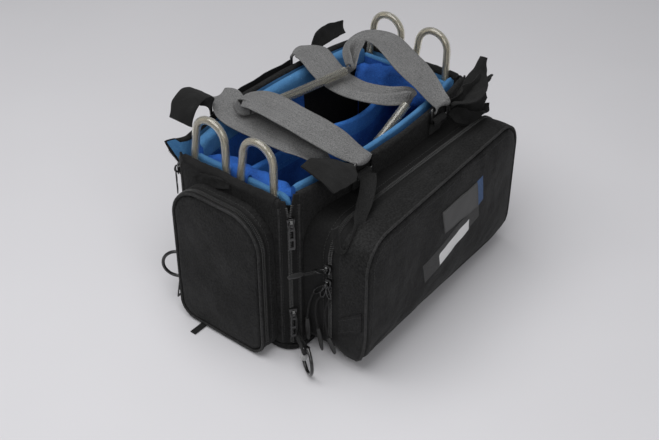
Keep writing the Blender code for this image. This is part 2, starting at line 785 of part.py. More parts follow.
for place, end in (("near", -1), ("far", 1)):
    for wall_name, side in (("front", -1), ("back", 1)):
        make_strap_ring(f"{wall_name}_{place}_strap_ring", end, side)
        make_anchor(f"{wall_name}_{place}_ring_anchor", end, side)

ring_edge = RING_X + RING_WIDTH / 2 + bar_radius + FIT_CLEARANCE
ACROSS = (0, 1, 0)
make_tab("front_near_hook_tab", [
    (-ring_edge, front_bar, 0.006, (0, 1, 0.1), 0.026),
    (-ring_edge - 0.012, front_bar + 0.002, 0.008, (0, 1, 0.15), TAB_WIDTH),
    (-ring_edge - 0.034, front_bar + 0.006, 0.010, (0, 1, 0.2), TAB_WIDTH),
    (-ring_edge - 0.050, front_bar + 0.008, 0.009, (0, 1, 0.2), TAB_WIDTH)])
make_tab("front_far_hook_tab", [
    (ring_edge + TAB_LEAN / 2, front_bar, -0.002, (0, 0, 1), 0.014),
    (ring_edge + 0.006, front_bar, -0.002, (0, 0, 1), 0.020),
    (ring_edge + 0.018, front_bar - 0.009, -0.006, (0, 0.3, 1), 0.048),
    (ring_edge + 0.040, front_bar - 0.013, -0.006, (0, 0.2, 1), 0.050),
    (ring_edge + 0.064, front_bar - 0.010, 0.004, (0, 0.2, 1), 0.042)])
make_tab("back_near_hook_tab", [
    (-ring_edge - TAB_LEAN, back_bar + 0.004, 0.002, ACROSS, 0.016),
    (-ring_edge - 0.010, back_bar, 0.026, ACROSS, 0.036),
    (-ring_edge - 0.030, back_bar - 0.006, 0.037, ACROSS, 0.038),
    (-ring_edge - 0.050, back_bar - 0.008, 0.031, ACROSS, 0.038),
    (-ring_edge - 0.058, back_bar - 0.008, 0.011, ACROSS, 0.038)])
make_tab("back_far_hook_tab", [
    (ring_edge + TAB_LEAN, back_bar, -0.002, (0, 0, 1), 0.014),
    (ring_edge + 0.006, back_bar, -0.002, (0, 0, 1), 0.018),
    (ring_edge + 0.022, back_bar + 0.003, 0.004, (0, 0.3, 1), 0.022),
    (ring_edge + 0.045, back_bar + 0.006, 0.006, (0, 0.4, 1), 0.024),
    (ring_edge + 0.086, back_bar + 0.008, 0.000, (0, 0.4, 1), 0.018)])


# Corner rings for the shoulder strap and harness

def corner_frame(end, side, stand, height, droop):
    """A frame at a corner: its x axis points out and down by the droop, its z axis is the ring's bar."""
    turn = math.radians(D_RING_ANGLE)
    out = Vector((end * math.cos(turn), side * math.sin(turn), 0))
    tilt = math.radians(droop)
    reach = math.cos(tilt) * out - math.sin(tilt) * UP
    bar = math.sin(tilt) * out + math.cos(tilt) * UP
    centre = Vector((end * straight, side * flat, height)) + (CORNER_RADIUS + stand) * out
    matrix = Matrix((reach, bar.cross(reach), bar)).transposed().to_4x4()
    matrix.translation = centre
    return matrix


def make_corner_ring(name, end, side, stand, height, seam, droop, wall):
    """A wire ring with a straight bar, and the webbing loop sewn to the wall that holds it."""
    frame = corner_frame(end, side, stand, height, droop)
    bar_half = D_RING_TALL / 2
    wire = D_RING_WIRE / 2
    bend = D_RING_BEND
    outline = ([(0.0, bend - bar_half), (0.0, 0.0), (0.0, bar_half - bend), (bend / 3, bar_half - bend / 3),
                (bend, bar_half)]
               + arc((D_RING_REACH - bar_half, 0), bar_half, 80, -80, 8)
               + [(bend, -bar_half), (bend / 3, bend / 3 - bar_half)])
    points = [Vector((x, 0, z)) for x, z in outline]
    ring = loft(name, circles(points, wire, 6, Vector((0, 1, 0)), closed=True), closed=True)
    thing = bpy.data.objects.new(name, ring)
    ring.materials.append(dark_metal)
    thing.matrix_world = frame
    bpy.context.scene.collection.objects.link(thing)
    attach(thing, wall)

    tilt = math.radians(droop)
    inward = stand + D_STRAP_ROOT
    root = (seam - height) * math.sin(tilt) + inward * math.cos(tilt)
    slant = (inward * math.sin(tilt) - (seam - height) * math.cos(tilt)) / root
    hole = wire + FIT_CLEARANCE
    eye = hole + D_EYE_WALL
    thick = D_STRAP_THICKNESS / 2
    neck = -0.8 * eye
    outer = arc((0, 0), eye, 90, -90, 6) + [(neck, -thick), (-root, -thick), (-root, thick), (neck, thick)]
    inner = arc((0, 0), hole, 90, -90, 6) + arc((0, 0), hole, -126, -234, 3)
    half = D_STRAP_WIDTH / 2
    rings = []
    for (a, b), (c, d) in zip(outer, inner):
        rings.append([(a, b, a * slant - half), (a, b, a * slant + half), (c, d, c * slant + half),
                      (c, d, c * slant - half)])
    apply_boolean(wall, helper("strap", loft("strap", rings, closed=True), frame), "UNION")


make_corner_ring("near_front_d_ring", -1, -1, D_LOW_STAND, D_LOW_HEIGHT, D_LOW_SEAM, D_LOW_DROOP, front_wall)
make_corner_ring("near_back_d_ring", -1, 1, D_STAND, D_HEIGHT, D_HEIGHT, 0, back_wall)
make_corner_ring("far_front_d_ring", 1, -1, D_STAND, D_HEIGHT, D_HEIGHT, 0, front_wall)
make_corner_ring("far_back_d_ring", 1, 1, D_STAND, D_HEIGHT, D_HEIGHT, 0, back_wall)


# Zip sliders and their pulls

pin_reach = SLIDER_THICKNESS + EYE_RADIUS + FIT_CLEARANCE


def slider_mesh():
    """A slider: a tapered plate with two ears and a pin, facing +X, with its travel along Z."""
    wide = SLIDER_WIDTH / 2
    tall = SLIDER_TALL / 2
    outline = [(-wide * 0.55, -tall), (wide * 0.55, -tall), (wide, tall * 0.1), (wide * 0.8, tall),
               (-wide * 0.8, tall), (-wide, tall * 0.1)]
    plate = loft("slider", [[(x, y, z) for y, z in outline] for x in (0, SLIDER_THICKNESS)])
    body = helper("slider", plate)
    ear_tall = PIN_RADIUS + 2 * EAR_RIM
    for edge in (-EAR_GAP / 2 - EAR_THICKNESS, EAR_GAP / 2):
        ear = block("ear", (SLIDER_THICKNESS / 2, edge, -ear_tall),
                    (pin_reach + PIN_RADIUS + EAR_RIM, edge + EAR_THICKNESS, ear_tall))
        apply_boolean(body, helper("ear", ear), "UNION")
    pin_half = EAR_GAP / 2 + EAR_THICKNESS / 2
    ends = [Vector((pin_reach, y, 0)) for y in (-pin_half, pin_half)]
    pin = loft("pin", circles(ends, PIN_RADIUS, 6, UP))
    apply_boolean(body, helper("pin", pin), "UNION")
    mesh = body.data
    bpy.data.objects.remove(body, do_unlink=True)
    return mesh


def pull_mesh(stages):
    """A pull that hangs from an eye round the slider's pin. Stages are drop, half width, half thickness."""
    eye = arc((0, 0), EYE_RADIUS, 0, 315, 7)
    bore = arc((0, 0), EYE_BORE, 0, 315, 7)
    half = EYE_WIDTH / 2
    rings = [[(a, -half, b), (a, half, b), (c, half, d), (c, -half, d)] for (a, b), (c, d) in zip(eye, bore)]
    body = helper("pull", loft("pull", rings, closed=True))
    neck = (EYE_BORE + EYE_RADIUS) / 2
    rows = ((neck, half, PULL_THICKNESS / 2),) + stages
    rings = [[(-t, -w, -z), (t, -w, -z), (t, w, -z), (-t, w, -z)] for z, w, t in rows]
    apply_boolean(body, helper("blade", loft("blade", rings)), "UNION")
    mesh = body.data
    mesh.materials.append(dark_metal)
    bpy.data.objects.remove(body, do_unlink=True)
    return mesh


flat_half = PULL_THICKNESS / 2
wide_half = PULL_WIDTH / 2
plate_pull = pull_mesh((
    (PULL_LENGTH * 0.2, EYE_WIDTH / 2, flat_half),
    (PULL_LENGTH * 0.32, wide_half, flat_half),
    (PULL_LENGTH * 0.93, wide_half, flat_half),
    (PULL_LENGTH, wide_half * 0.6, flat_half),
))
cord_half = CORD_THICKNESS / 2
grip_half = CORD_GRIP_WIDTH / 2
grip_start = CORD_PULL_LENGTH - CORD_GRIP_LENGTH
cord_pull = pull_mesh((
    (PULL_LENGTH * 0.3, wide_half, flat_half),
    (PULL_LENGTH * 0.5, wide_half, flat_half),
    (PULL_LENGTH * 0.65, cord_half, cord_half),
    (grip_start, cord_half, cord_half),
    (grip_start, grip_half, cord_half * 1.5),
    (CORD_PULL_LENGTH - CORD_GRIP_WIDTH, grip_half, cord_half * 1.5),
    (CORD_PULL_LENGTH, grip_half * 0.4, cord_half),
))
slider_shape = slider_mesh()
slider_shape.materials.append(dark_metal)


def make_slider(name, place, outward, parent, pull_shape=plate_pull, lift=0.0):
    """A slider whose back lies on the tape at this place, and its pull lifted by an angle in degrees."""
    out = Vector(outward).normalized()
    side = UP.cross(out)
    turn = Matrix((out, side, UP)).transposed()
    body = bpy.data.objects.new(f"{name}_slider", slider_shape)
    body.matrix_world = Matrix.Translation(Vector(place) + SEAM_GAP * out) @ turn.to_4x4()
    bpy.context.scene.collection.objects.link(body)
    attach(body, parent)
    pull = bpy.data.objects.new(f"{name}_pull", pull_shape)
    hang = Matrix.Rotation(math.radians(-lift), 3, "Y")
    pin = Vector(place) + (SEAM_GAP + pin_reach) * out
    pull.matrix_world = Matrix.Translation(pin) @ (turn @ hang).to_4x4()
    bpy.context.scene.collection.objects.link(pull)
    attach(pull, body)


def corner_zip_place(end, side, height):
    """Where a corner slider sits, on the wall's tape beside the zip, and which way it faces."""
    angle = math.radians(45) + (SLIDER_WIDTH / 2 + ZIP_GAP) / CORNER_RADIUS
    out = Vector((end * math.cos(angle), side * math.sin(angle), 0))
    return Vector((end * straight, side * flat, height)) + CORNER_RADIUS * out, out


corner_slider_height = RIM_HEIGHT - CORNER_SLIDER_DROP
for place, end, side, height, wall in (
    ("near_front_top", -1, -1, corner_slider_height, front_wall),
    ("near_front_low", -1, -1, LOW_SLIDER_HEIGHT, front_wall),
    ("near_back_top", -1, 1, corner_slider_height, back_wall),
    ("far_front_top", 1, -1, corner_slider_height, front_wall),
    ("far_back_top", 1, 1, corner_slider_height, back_wall),
):
    make_slider(place, *corner_zip_place(end, side, height), wall)
tape_middle = SLIDER_WIDTH / 2 + FIT_CLEARANCE
pocket_tape = tray_front - tape_middle
make_slider("near_pocket", (-pocket_tape, end_pocket_half, POCKET_SLIDER_HEIGHT), (0, 1, 0), near_tray)
make_slider("far_pocket", (pocket_tape, end_pocket_half, POCKET_SLIDER_HEIGHT), (0, 1, 0), far_tray)
make_slider("front_pocket", (front_left, zip_y + tape_middle, front_top - FRONT_SLIDER_DROP), (-1, 0, 0),
            front_tray, cord_pull, FRONT_PULL_LIFT)
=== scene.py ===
# %% [markdown]
# # A location sound bag, dressed round its solids
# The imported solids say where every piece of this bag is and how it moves. This script keeps those
# places and makes each piece look like what it is: padded nylon, velvet, webbing, clear tube, wire.
# Every length is in metres, in the same frame as the solids.

# %% Load the frame
import math

import bmesh
import bpy
from mathutils import Matrix, Vector, noise
from mathutils.bvhtree import BVHTree


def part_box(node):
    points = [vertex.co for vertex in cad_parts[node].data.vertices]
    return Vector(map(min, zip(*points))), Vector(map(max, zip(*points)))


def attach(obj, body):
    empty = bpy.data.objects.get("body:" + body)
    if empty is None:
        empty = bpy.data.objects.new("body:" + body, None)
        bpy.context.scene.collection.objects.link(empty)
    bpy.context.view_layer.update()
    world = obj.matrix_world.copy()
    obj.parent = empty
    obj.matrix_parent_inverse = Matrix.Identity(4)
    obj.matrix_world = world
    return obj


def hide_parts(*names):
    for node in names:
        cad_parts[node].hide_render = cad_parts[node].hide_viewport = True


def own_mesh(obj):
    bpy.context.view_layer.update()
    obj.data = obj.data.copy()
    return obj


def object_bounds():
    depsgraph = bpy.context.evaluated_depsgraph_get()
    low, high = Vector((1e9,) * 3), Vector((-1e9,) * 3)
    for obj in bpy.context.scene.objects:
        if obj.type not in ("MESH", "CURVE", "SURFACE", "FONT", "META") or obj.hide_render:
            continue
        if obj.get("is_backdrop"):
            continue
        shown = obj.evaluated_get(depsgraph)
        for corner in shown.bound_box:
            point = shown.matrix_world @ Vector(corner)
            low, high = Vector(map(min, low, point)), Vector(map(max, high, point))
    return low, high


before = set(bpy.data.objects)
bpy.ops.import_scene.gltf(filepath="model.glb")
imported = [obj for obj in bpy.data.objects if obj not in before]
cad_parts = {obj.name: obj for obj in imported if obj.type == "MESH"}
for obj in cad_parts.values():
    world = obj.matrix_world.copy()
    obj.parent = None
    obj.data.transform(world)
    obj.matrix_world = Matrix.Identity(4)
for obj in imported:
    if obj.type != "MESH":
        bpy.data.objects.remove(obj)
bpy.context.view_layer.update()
scene = bpy.context.scene
scene.view_settings.view_transform = "Standard"

# %% [markdown]
# ## Camera
# A camera could be placed by eye, but a wrong lens bends every proportion. This one was fitted to the
# bag's edges in the photograph, so its place is known and nothing has to be moved to suit it.

# %% Camera
PHOTO_WIDTH = 659
FOCAL_PIXELS = 1126.1
SENSOR = 36.0
CAMERA_PLACE = (-0.9511, -0.7649, 0.9624)
AZIMUTH = math.radians(-51.23)
PITCH = math.radians(36.55)
level = math.cos(PITCH)
towards = -Vector((math.sin(AZIMUTH) * level, -math.cos(AZIMUTH) * level, math.sin(PITCH)))
lens = bpy.data.cameras.new("photo_camera")
lens.sensor_width = SENSOR
lens.lens = FOCAL_PIXELS / PHOTO_WIDTH * SENSOR
camera = bpy.data.objects.new("photo_camera", lens)
camera.location = CAMERA_PLACE
camera.rotation_mode = "QUATERNION"
camera.rotation_quaternion = towards.to_track_quat("-Z", "Y")
scene.collection.objects.link(camera)
scene.camera = camera
print("lens", round(lens.lens, 1), "mm")

# %% [markdown]
# ## Writing finishes as sums
# A finish is a small tree of nodes. Linked by hand, even a simple pattern takes many lines that hide
# what it does. The class below wraps one socket, so a pattern is written as ordinary arithmetic and
# each operator adds its Math node. One method adds any other node.

# %% Sums of sockets
class Tone:
    """A number that varies over a surface: operators on it add Math nodes."""

    def __init__(self, finish, socket):
        self.finish = finish
        self.socket = socket

    def math(self, operation, *others):
        sockets = {0: self, **dict(enumerate(others, 1))}
        return self.finish.node("ShaderNodeMath", {"operation": operation}, sockets)

    def __add__(self, other):
        return self.math("ADD", other)

    def __mul__(self, other):
        return self.math("MULTIPLY", other)

    def __sub__(self, other):
        return self.math("SUBTRACT", other)

    def __rsub__(self, other):
        return self.math("MULTIPLY", -1.0).math("ADD", other)

    __radd__ = __add__
    __rmul__ = __mul__

    def sin(self):
        return self.math("SINE")

    def clamp(self):
        return self.math("MAXIMUM", 0.0).math("MINIMUM", 1.0)

    def rise(self, low, high):
        """0 below low and 1 above high."""
        return ((self - low) * (1 / (high - low))).clamp()


print("sums ready")

# %% The finish helper
class Finish:
    """A material and the nodes that feed its Principled shader."""

    def __init__(self, name, **fixed):
        self.material = bpy.data.materials.new(name)
        self.material.use_nodes = True
        self.tree = self.material.node_tree
        self.shader = self.tree.nodes["Principled BSDF"]
        for socket, value in fixed.items():
            self.shader.inputs[socket.replace("_", " ").title().replace("Ior", "IOR")].default_value = value

    def node(self, kind, settings=None, sockets=None, out=0):
        made = self.tree.nodes.new(kind)
        for key, value in (settings or {}).items():
            setattr(made, key, value)
        for key, value in (sockets or {}).items():
            self.feed(made.inputs[key], value)
        return Tone(self, made.outputs[out])

    def feed(self, socket, value):
        if isinstance(value, Tone):
            self.tree.links.new(value.socket, socket)
        else:
            socket.default_value = value

    def place(self):
        """The point on the piece, in metres."""
        return self.node("ShaderNodeTexCoord", out=3)

    def cloth(self):
        """The place on the piece's own cloth, in metres."""
        return self.node("ShaderNodeTexCoord", out=2)

    def parts(self, vector):
        split = self.tree.nodes.new("ShaderNodeSeparateXYZ")
        self.feed(split.inputs[0], vector)
        return [Tone(self, output) for output in split.outputs]

    def noise(self, scale, detail=3.0):
        sockets = {"Vector": self.place(), "Scale": scale, "Detail": detail}
        return self.node("ShaderNodeTexNoise", None, sockets)

    def mix(self, amount, first, second):
        return self.node("ShaderNodeMix", {"data_type": "RGBA"}, {0: amount, 6: first, 7: second}, 2)

    def done(self, colour, roughness, height=None, depth=0.0002, strength=0.6):
        self.feed(self.shader.inputs["Base Color"], colour)
        self.feed(self.shader.inputs["Roughness"], roughness)
        if height is not None:
            sockets = {"Height": height, "Distance": depth, "Strength": strength}
            self.feed(self.shader.inputs["Normal"], self.node("ShaderNodeBump", None, sockets))
        return self.material


def grey(level, warm=0.0):
    return (level + warm, level, level - warm, 1.0)


print("finish helper ready")

# %% [markdown]
# ## Cloth finishes
# The outside is a coated black nylon with a fine plain weave, a little dust and paler rubbed places.
# A weave could be laid on through a map, but padded panels have many seams. The sum of three sines of
# x, y and z looks woven on any side of the bag and needs no map. Velvet has no weave: it shows its nap
# as broad patches that lie different ways, with a soft sheen.

# %% Nylon, zip tape and velvet
def weave(finish, pitch):
    """A plain weave from the place alone: 0 between the yarns and about 1 on them."""
    turn = 2 * math.pi / pitch
    x, y, z = finish.parts(finish.place())
    return ((x * turn).sin() + (y * turn).sin() + (z * turn).sin()) * 0.25 + 0.5


def make_nylon(name, dark, pale, pitch, depth):
    """Coarse coated cloth: yarns, a fine broken grain, rubbed places and a little dust."""
    finish = Finish(name, sheen_weight=0.03, sheen_roughness=0.5, specular_ior_level=0.16)
    yarn = weave(finish, pitch)
    rubbed = finish.noise(18.0, 4.0)
    grain = finish.noise(420.0, 3.0).rise(0.34, 0.66)
    dust = finish.noise(430.0, 2.0).rise(0.70, 0.80)
    body = finish.mix((yarn * 0.2 + grain * 0.65 + rubbed * 0.7 - 0.35).clamp(), dark, pale)
    colour = finish.mix(dust * 0.22, body, grey(0.07))
    return finish.done(colour, 0.86 - rubbed * 0.3, yarn * 0.6 + grain + rubbed * 0.4, depth)


def make_velvet(name, dark, pale, lint):
    """Short pile: broad patches where the nap lies another way, mottled fibre and stray lint."""
    finish = Finish(name, sheen_weight=0.35, sheen_roughness=0.4, specular_ior_level=0.2)
    finish.shader.inputs["Sheen Tint"].default_value = pale
    nap = finish.noise(30.0, 5.0).rise(0.28, 0.72)
    fibre = finish.noise(520.0, 3.0).rise(0.25, 0.75)
    specks = finish.noise(300.0, 1.0).rise(0.74, 0.82)
    body = finish.mix((nap * 0.6 + fibre * 0.5 - 0.05).clamp(), dark, pale)
    colour = finish.mix(specks * 0.45, body, lint)
    return finish.done(colour, 0.85 + fibre * 0.15, fibre + nap * 1.5, 0.0006, 0.8)


nylon = make_nylon("black_nylon", grey(0.0015), grey(0.019), 0.0013, 0.0004)
# Darker nylon for the floor board, linings, corner web and flap; on the front pocket's gusset its extra
# darkness is painted shade from the lid.
dark_nylon_and_painted_shade = make_nylon("dark_black_nylon_and_painted_shade", grey(0.0012), grey(0.007), 0.0016, 0.0003)
zip_tape = make_nylon("zip_tape", grey(0.0024), grey(0.010), 0.0009, 0.00015)
# Paler nylon for the sewn piping: the paler grey is a painted highlight along the cords.
piping_nylon_painted_highlight = make_nylon("piping_painted_highlight", grey(0.009), grey(0.040), 0.0010, 0.0002)
velvet = make_velvet("blue_velvet", (0.008, 0.034, 0.16, 1), (0.035, 0.155, 0.56, 1), (0.2, 0.36, 0.7, 1))
trim_blue = make_velvet("light_blue_trim", (0.036, 0.120, 0.26, 1), (0.074, 0.21, 0.40, 1),
                        (0.35, 0.48, 0.66, 1))
band_blue = make_velvet("divider_band", (0.016, 0.082, 0.30, 1), (0.05, 0.20, 0.58, 1), (0.3, 0.45, 0.7, 1))
print("cloth finishes ready")

# %% [markdown]
# ## Webbing and hook tape
# Carry webbing is a heavy twill, so its pattern has to turn with the strap. Its pieces carry a map in
# metres, across and along, so the yarns follow every fold, which a pattern fixed in space can't do.
# Hook tape is a mat of tiny loops with no direction, so a rough dark noise is enough.

# %% Webbing and hook tape
def make_webbing(name, dark, pale, rib):
    """Woven tape: a fine twill that follows the tape, heathered yarns and a little soil."""
    finish = Finish(name, sheen_weight=0.05, sheen_roughness=0.5, specular_ior_level=0.15)
    across, along, _ = finish.parts(finish.cloth())
    turn = 2 * math.pi / rib
    ribs = ((along + across * 0.6) * turn).sin() * ((along - across * 0.6) * turn).sin() * 0.5 + 0.5
    soil = finish.noise(40.0, 4.0)
    heather = finish.noise(700.0, 2.0).rise(0.3, 0.7)
    colour = finish.mix((ribs * 0.2 + soil * 0.3 + heather * 0.65 - 0.1).clamp(), dark, pale)
    return finish.done(colour, 0.8 + soil * 0.15, ribs * 0.5 + heather, 0.0004, 0.8)


def make_hook_tape():
    finish = Finish("black_hook_tape", sheen_weight=0.03, sheen_roughness=0.6, specular_ior_level=0.08)
    loops = finish.noise(1100.0, 3.0)
    patch = finish.noise(60.0, 3.0)
    lint = finish.noise(420.0, 2.0).rise(0.68, 0.76)
    body = finish.mix((loops * 0.9 + patch * 0.4 - 0.2).clamp(), grey(0.0012), grey(0.026))
    return finish.done(finish.mix(lint * 0.25, body, grey(0.08)), 0.96, loops, 0.0008, 0.9)


grey_webbing = make_webbing("grey_webbing", grey(0.060), grey(0.215), 0.0026)
black_webbing = make_webbing("black_webbing", grey(0.003), grey(0.02), 0.0018)
hook_tape = make_hook_tape()
print("webbing ready")

# %% [markdown]
# ## Tube, wire and hardware
# The tubes are soft clear plastic that has yellowed, so they transmit light instead of fading to
# nothing. The wire inside them is twisted steel: its strands could be modelled, but two crossing
# waves in the bump look the same at this size. The same waves also set the steel's colour: pale on the
# strands as a painted highlight and dark between them as painted shade. Zip parts and rings are metal
# under black enamel, worn paler in places.

# %% Tube, wire and dark metal
def make_tube():
    finish = Finish("clear_tube", transmission_weight=0.94, ior=1.42, coat_weight=0.4, coat_roughness=0.05)
    haze = finish.noise(60.0, 4.0)
    colour = finish.mix(haze, (0.93, 0.89, 0.74, 1), (0.99, 0.98, 0.92, 1))
    return finish.done(colour, 0.03 + haze * 0.1, haze, 0.0002, 0.2)


def make_cable():
    """Twisted wire rope: two waves that climb round the bar cross each other and leave small beads."""
    finish = Finish("steel_cable", metallic=1.0)
    around, along, _ = finish.parts(finish.cloth())
    climb = along * (2 * math.pi / 0.0034)
    turn = around * (2 * math.pi / 0.0058)
    # The strand waves also set the colour below: pale on the strands as a painted highlight, dark between
    # them as painted shade.
    strand = (climb + turn).sin() * (climb * 2.0 - turn * 2.0).sin() * 0.5 + 0.5
    wear = finish.noise(200.0, 3.0)
    colour = finish.mix((strand * 0.9 + wear * 0.4 - 0.15).clamp(), grey(0.09, 0.008), grey(0.52, 0.03))
    return finish.done(colour, 0.22 + wear * 0.2, strand, 0.0008, 0.9)


def make_metal(name, dark, pale, smooth, rough):
    finish = Finish(name, metallic=1.0)
    wear = finish.noise(240.0, 5.0)
    grain = finish.noise(2200.0, 2.0)
    worn = (wear * 1.4 + grain * 0.4 - 0.5).clamp()
    return finish.done(finish.mix(worn, dark, pale), smooth + worn * (rough - smooth), grain, 0.00006, 0.4)


def make_enamel(name, dark, pale):
    """Black enamel on metal: glossy, with worn places where the pale metal starts to show."""
    finish = Finish(name, coat_weight=0.4, coat_roughness=0.1, specular_ior_level=0.5)
    wear = finish.noise(260.0, 5.0).rise(0.5, 0.75)
    grain = finish.noise(2200.0, 2.0)
    return finish.done(finish.mix(wear, dark, pale), 0.2 + grain * 0.15, grain, 0.00005, 0.3)


clear_tube = make_tube()
steel = make_cable()
aluminium = make_metal("aluminium_strip", grey(0.45), grey(0.68), 0.3, 0.5)
dark_metal = make_enamel("dark_metal", grey(0.003), grey(0.02))
print("tube and metal finishes ready")

# %% Moulded parts and thread
def make_moulded(name, dark, pale, rough, scale=700.0):
    """Moulded plastic or rubber: a fine grain and a slight change of shade."""
    finish = Finish(name, specular_ior_level=0.45)
    grain = finish.noise(scale, 3.0)
    cast = finish.noise(50.0, 3.0)
    colour = finish.mix((grain * 0.6 + cast * 0.4).clamp(), dark, pale)
    return finish.done(colour, rough + grain * 0.15, grain, 0.0001)


# The zip teeth are a paler grey than the black tapes; the pale grey is a painted highlight on the beads.
coil_plastic_painted_highlight = make_moulded("zip_coil_painted_highlight", grey(0.012), grey(0.065), 0.25)
rubber = make_moulded("black_rubber", grey(0.008), grey(0.028), 0.5)
pale_rubber = make_moulded("pale_rubber", grey(0.28), grey(0.44), 0.6)
thread = make_moulded("black_thread", grey(0.012), grey(0.045), 0.6, 2500.0)
blue_thread = make_moulded("blue_thread", (0.02, 0.12, 0.4, 1), (0.06, 0.24, 0.55, 1), 0.6, 2500.0)
print("moulded finishes ready")

# %% [markdown]
# ## Meshes from rings
# Nearly every piece here is a skin through rings of points: a wall, a pad, a strap or a bent wire.
# Curve objects with a bevel could make some of them, but they can't change their section on the way.
# The helper writes a map in metres as it goes, so a weave can follow the cloth.

# %% Rings and pieces
UP = Vector((0, 0, 1))
SMOOTH_BELOW = math.radians(50)


def settled(name, shape):
    """Turns a bmesh into a plain mesh and frees it."""
    mesh = bpy.data.meshes.new(name)
    shape.to_mesh(mesh)
    shape.free()
    return mesh


def ring_mesh(name, rings, closed=False, caps=True, paint=None):
    """A mesh through closed rings of equal length. paint gives a face's finish by its ring and place."""
    shape = bmesh.new()
    count = len(rings[0])
    grid = [[shape.verts.new(point) for point in ring] for ring in rings]
    cloth = shape.loops.layers.uv.new("cloth")
    middle = [Vector(point) for point in rings[len(rings) // 2]]
    around = [0.0]
    for a, b in zip(middle, middle[1:] + middle[:1]):
        around.append(around[-1] + (b - a).length)
    along = [0.0]
    following = rings[1:] + rings[:1]
    for ring, after in zip(rings, following):
        steps = [(Vector(b) - Vector(a)).length for a, b in zip(ring, after)]
        along.append(along[-1] + sum(steps) / count)
    for i in range(len(rings) if closed else len(rings) - 1):
        after = grid[(i + 1) % len(grid)]
        for j in range(count):
            k = (j + 1) % count
            face = shape.faces.new((grid[i][j], grid[i][k], after[k], after[j]))
            face.material_index = paint(i, j) if paint else 0
            spots = ((j, i), (j + 1, i), (j + 1, i + 1), (j, i + 1))
            for loop, (u, v) in zip(face.loops, spots):
                loop[cloth].uv = (around[u], along[v])
    if caps and not closed:
        shape.faces.new(grid[0])
        shape.faces.new(grid[-1])
    bmesh.ops.recalc_face_normals(shape, faces=shape.faces)
    return settled(name, shape)


on_front_lid = []


def piece(mesh, finishes, body, nodes=(), sharp=SMOOTH_BELOW, name=None):
    """Adds a finished mesh as a piece that rides on a body and may stand for some solids."""
    thing = bpy.data.objects.new(name or mesh.name, mesh)
    scene.collection.objects.link(thing)
    for finish in finishes if isinstance(finishes, (list, tuple)) else [finishes]:
        mesh.materials.append(finish)
    mesh.polygons.foreach_set("use_smooth", [True] * len(mesh.polygons))
    mesh.set_sharp_from_angle(angle=sharp)
    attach(thing, body)
    if nodes:
        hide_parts(*nodes)
    if body == "front_lid":
        on_front_lid.append(thing)
    return thing


print("ring helpers ready")

# %% Arcs and routes
def arc(centre, radius, start, stop, steps):
    """Points (u, v) on an arc, with angles in degrees."""
    angles = [math.radians(start + (stop - start) * i / steps) for i in range(steps + 1)]
    return [(centre[0] + radius * math.cos(a), centre[1] + radius * math.sin(a)) for a in angles]


def smooth_step(value):
    value = min(max(value, 0.0), 1.0)
    return value * value * (3 - 2 * value)


def route(rows, steps):
    """Catmull-Rom samples through rows of numbers."""
    padded = [rows[0]] + rows + [rows[-1]]
    samples = []
    for a, b, c, d in zip(padded, padded[1:], padded[2:], padded[3:]):
        for step in range(steps):
            t = step / steps
            samples.append([
                0.5 * (2 * q + (r - p) * t + (2 * p - 5 * q + 4 * r - s) * t**2
                       + (3 * q - p - 3 * r + s) * t**3)
                for p, q, r, s in zip(a, b, c, d)
            ])
    return samples + [list(rows[-1])]


def directions(points, closed=False):
    """The direction of a path at each of its points."""
    last = len(points) - 1
    found = []
    for i, point in enumerate(points):
        before = points[i - 1] if closed or i else point
        after = points[(i + 1) % len(points)] if closed or i < last else point
        found.append((after - before).normalized())
    return found


print("route helpers ready")

# %% Bars, pipes and creases
def bar_rings(points, radius, sides=12, closed=False):
    """Rings of a round bar along any path. The frame is carried along, so that it never twists."""
    points = [Vector(p) for p in points]
    along = directions(points, closed)
    normal = along[0].orthogonal().normalized()
    rings = []
    for i, (point, way) in enumerate(zip(points, along)):
        normal = (normal - normal.dot(way) * way).normalized()
        side = way.cross(normal)
        wide = radius(i / (len(points) - 1)) if callable(radius) else radius
        rings.append([point + wide * (math.cos(a) * normal + math.sin(a) * side)
                      for a in (2 * math.pi * k / sides for k in range(sides))])
    return rings


def bar(name, points, radius, sides=12, closed=False):
    return ring_mesh(name, bar_rings(points, radius, sides, closed), closed)


def pipe(name, points, radius, bore, sides=20):
    """A hollow tube along a path, open at both ends."""
    outer = bar_rings(points, radius, sides)
    inner = bar_rings(points, bore, sides)
    return ring_mesh(name, outer + inner[::-1], closed=True)


def crumple(mesh, amount, size, seed, keep=None):
    """Moves points along their normals by a smooth noise. keep gives a share of it for each place."""
    shift = Vector((seed * 3.1, seed * 1.7, seed * 2.3))
    normals = [v.normal.copy() for v in mesh.vertices]
    for vert, normal in zip(mesh.vertices, normals):
        share = keep(vert.co) if keep else 1.0
        vert.co += normal * (amount * share * noise.noise(vert.co / size + shift))
    mesh.update()
    return mesh


print("bar helpers ready")

# %% [markdown]
# ## The padded case
# Two long walls turn both corners as far as the corner zips, and two end panels close the ends.
# Each is a foam core in nylon. A sheet with Solidify would give an even board, so each is lofted
# instead, as one skin with a rounded rim. Above the corner sliders the zips are open, and their edges
# part in a V. The inside is light-blue lining, with black nylon in most of the corners.

# %% Sizes of the case
SIDES = (("front", -1), ("back", 1))
ENDS = (("near", -1), ("far", 1))
HALF_LENGTH = 0.188
HALF_WIDTH = 0.095
RIM = 0.235
END_TOP = 0.226
CORNER = 0.028
STRAIGHT = HALF_LENGTH - CORNER
FLAT = HALF_WIDTH - CORNER
BOW = 0.0165
BASE = 0.010
FOOT = 0.0103
WALL = 0.009
TAPE = 0.003
TAPE_ANGLE = 22.5
ZIP_HALF = 0.8
SLIDER_TOP = 0.198
PART = 13.0
PART_START = 0.006
PART_REACH = 34
TAPE_SINK = 0.0007
SPRUNG = Vector((-0.011, 0.014, 0))
SPRUNG_START = 0.002
SPRUNG_RISE = 0.034


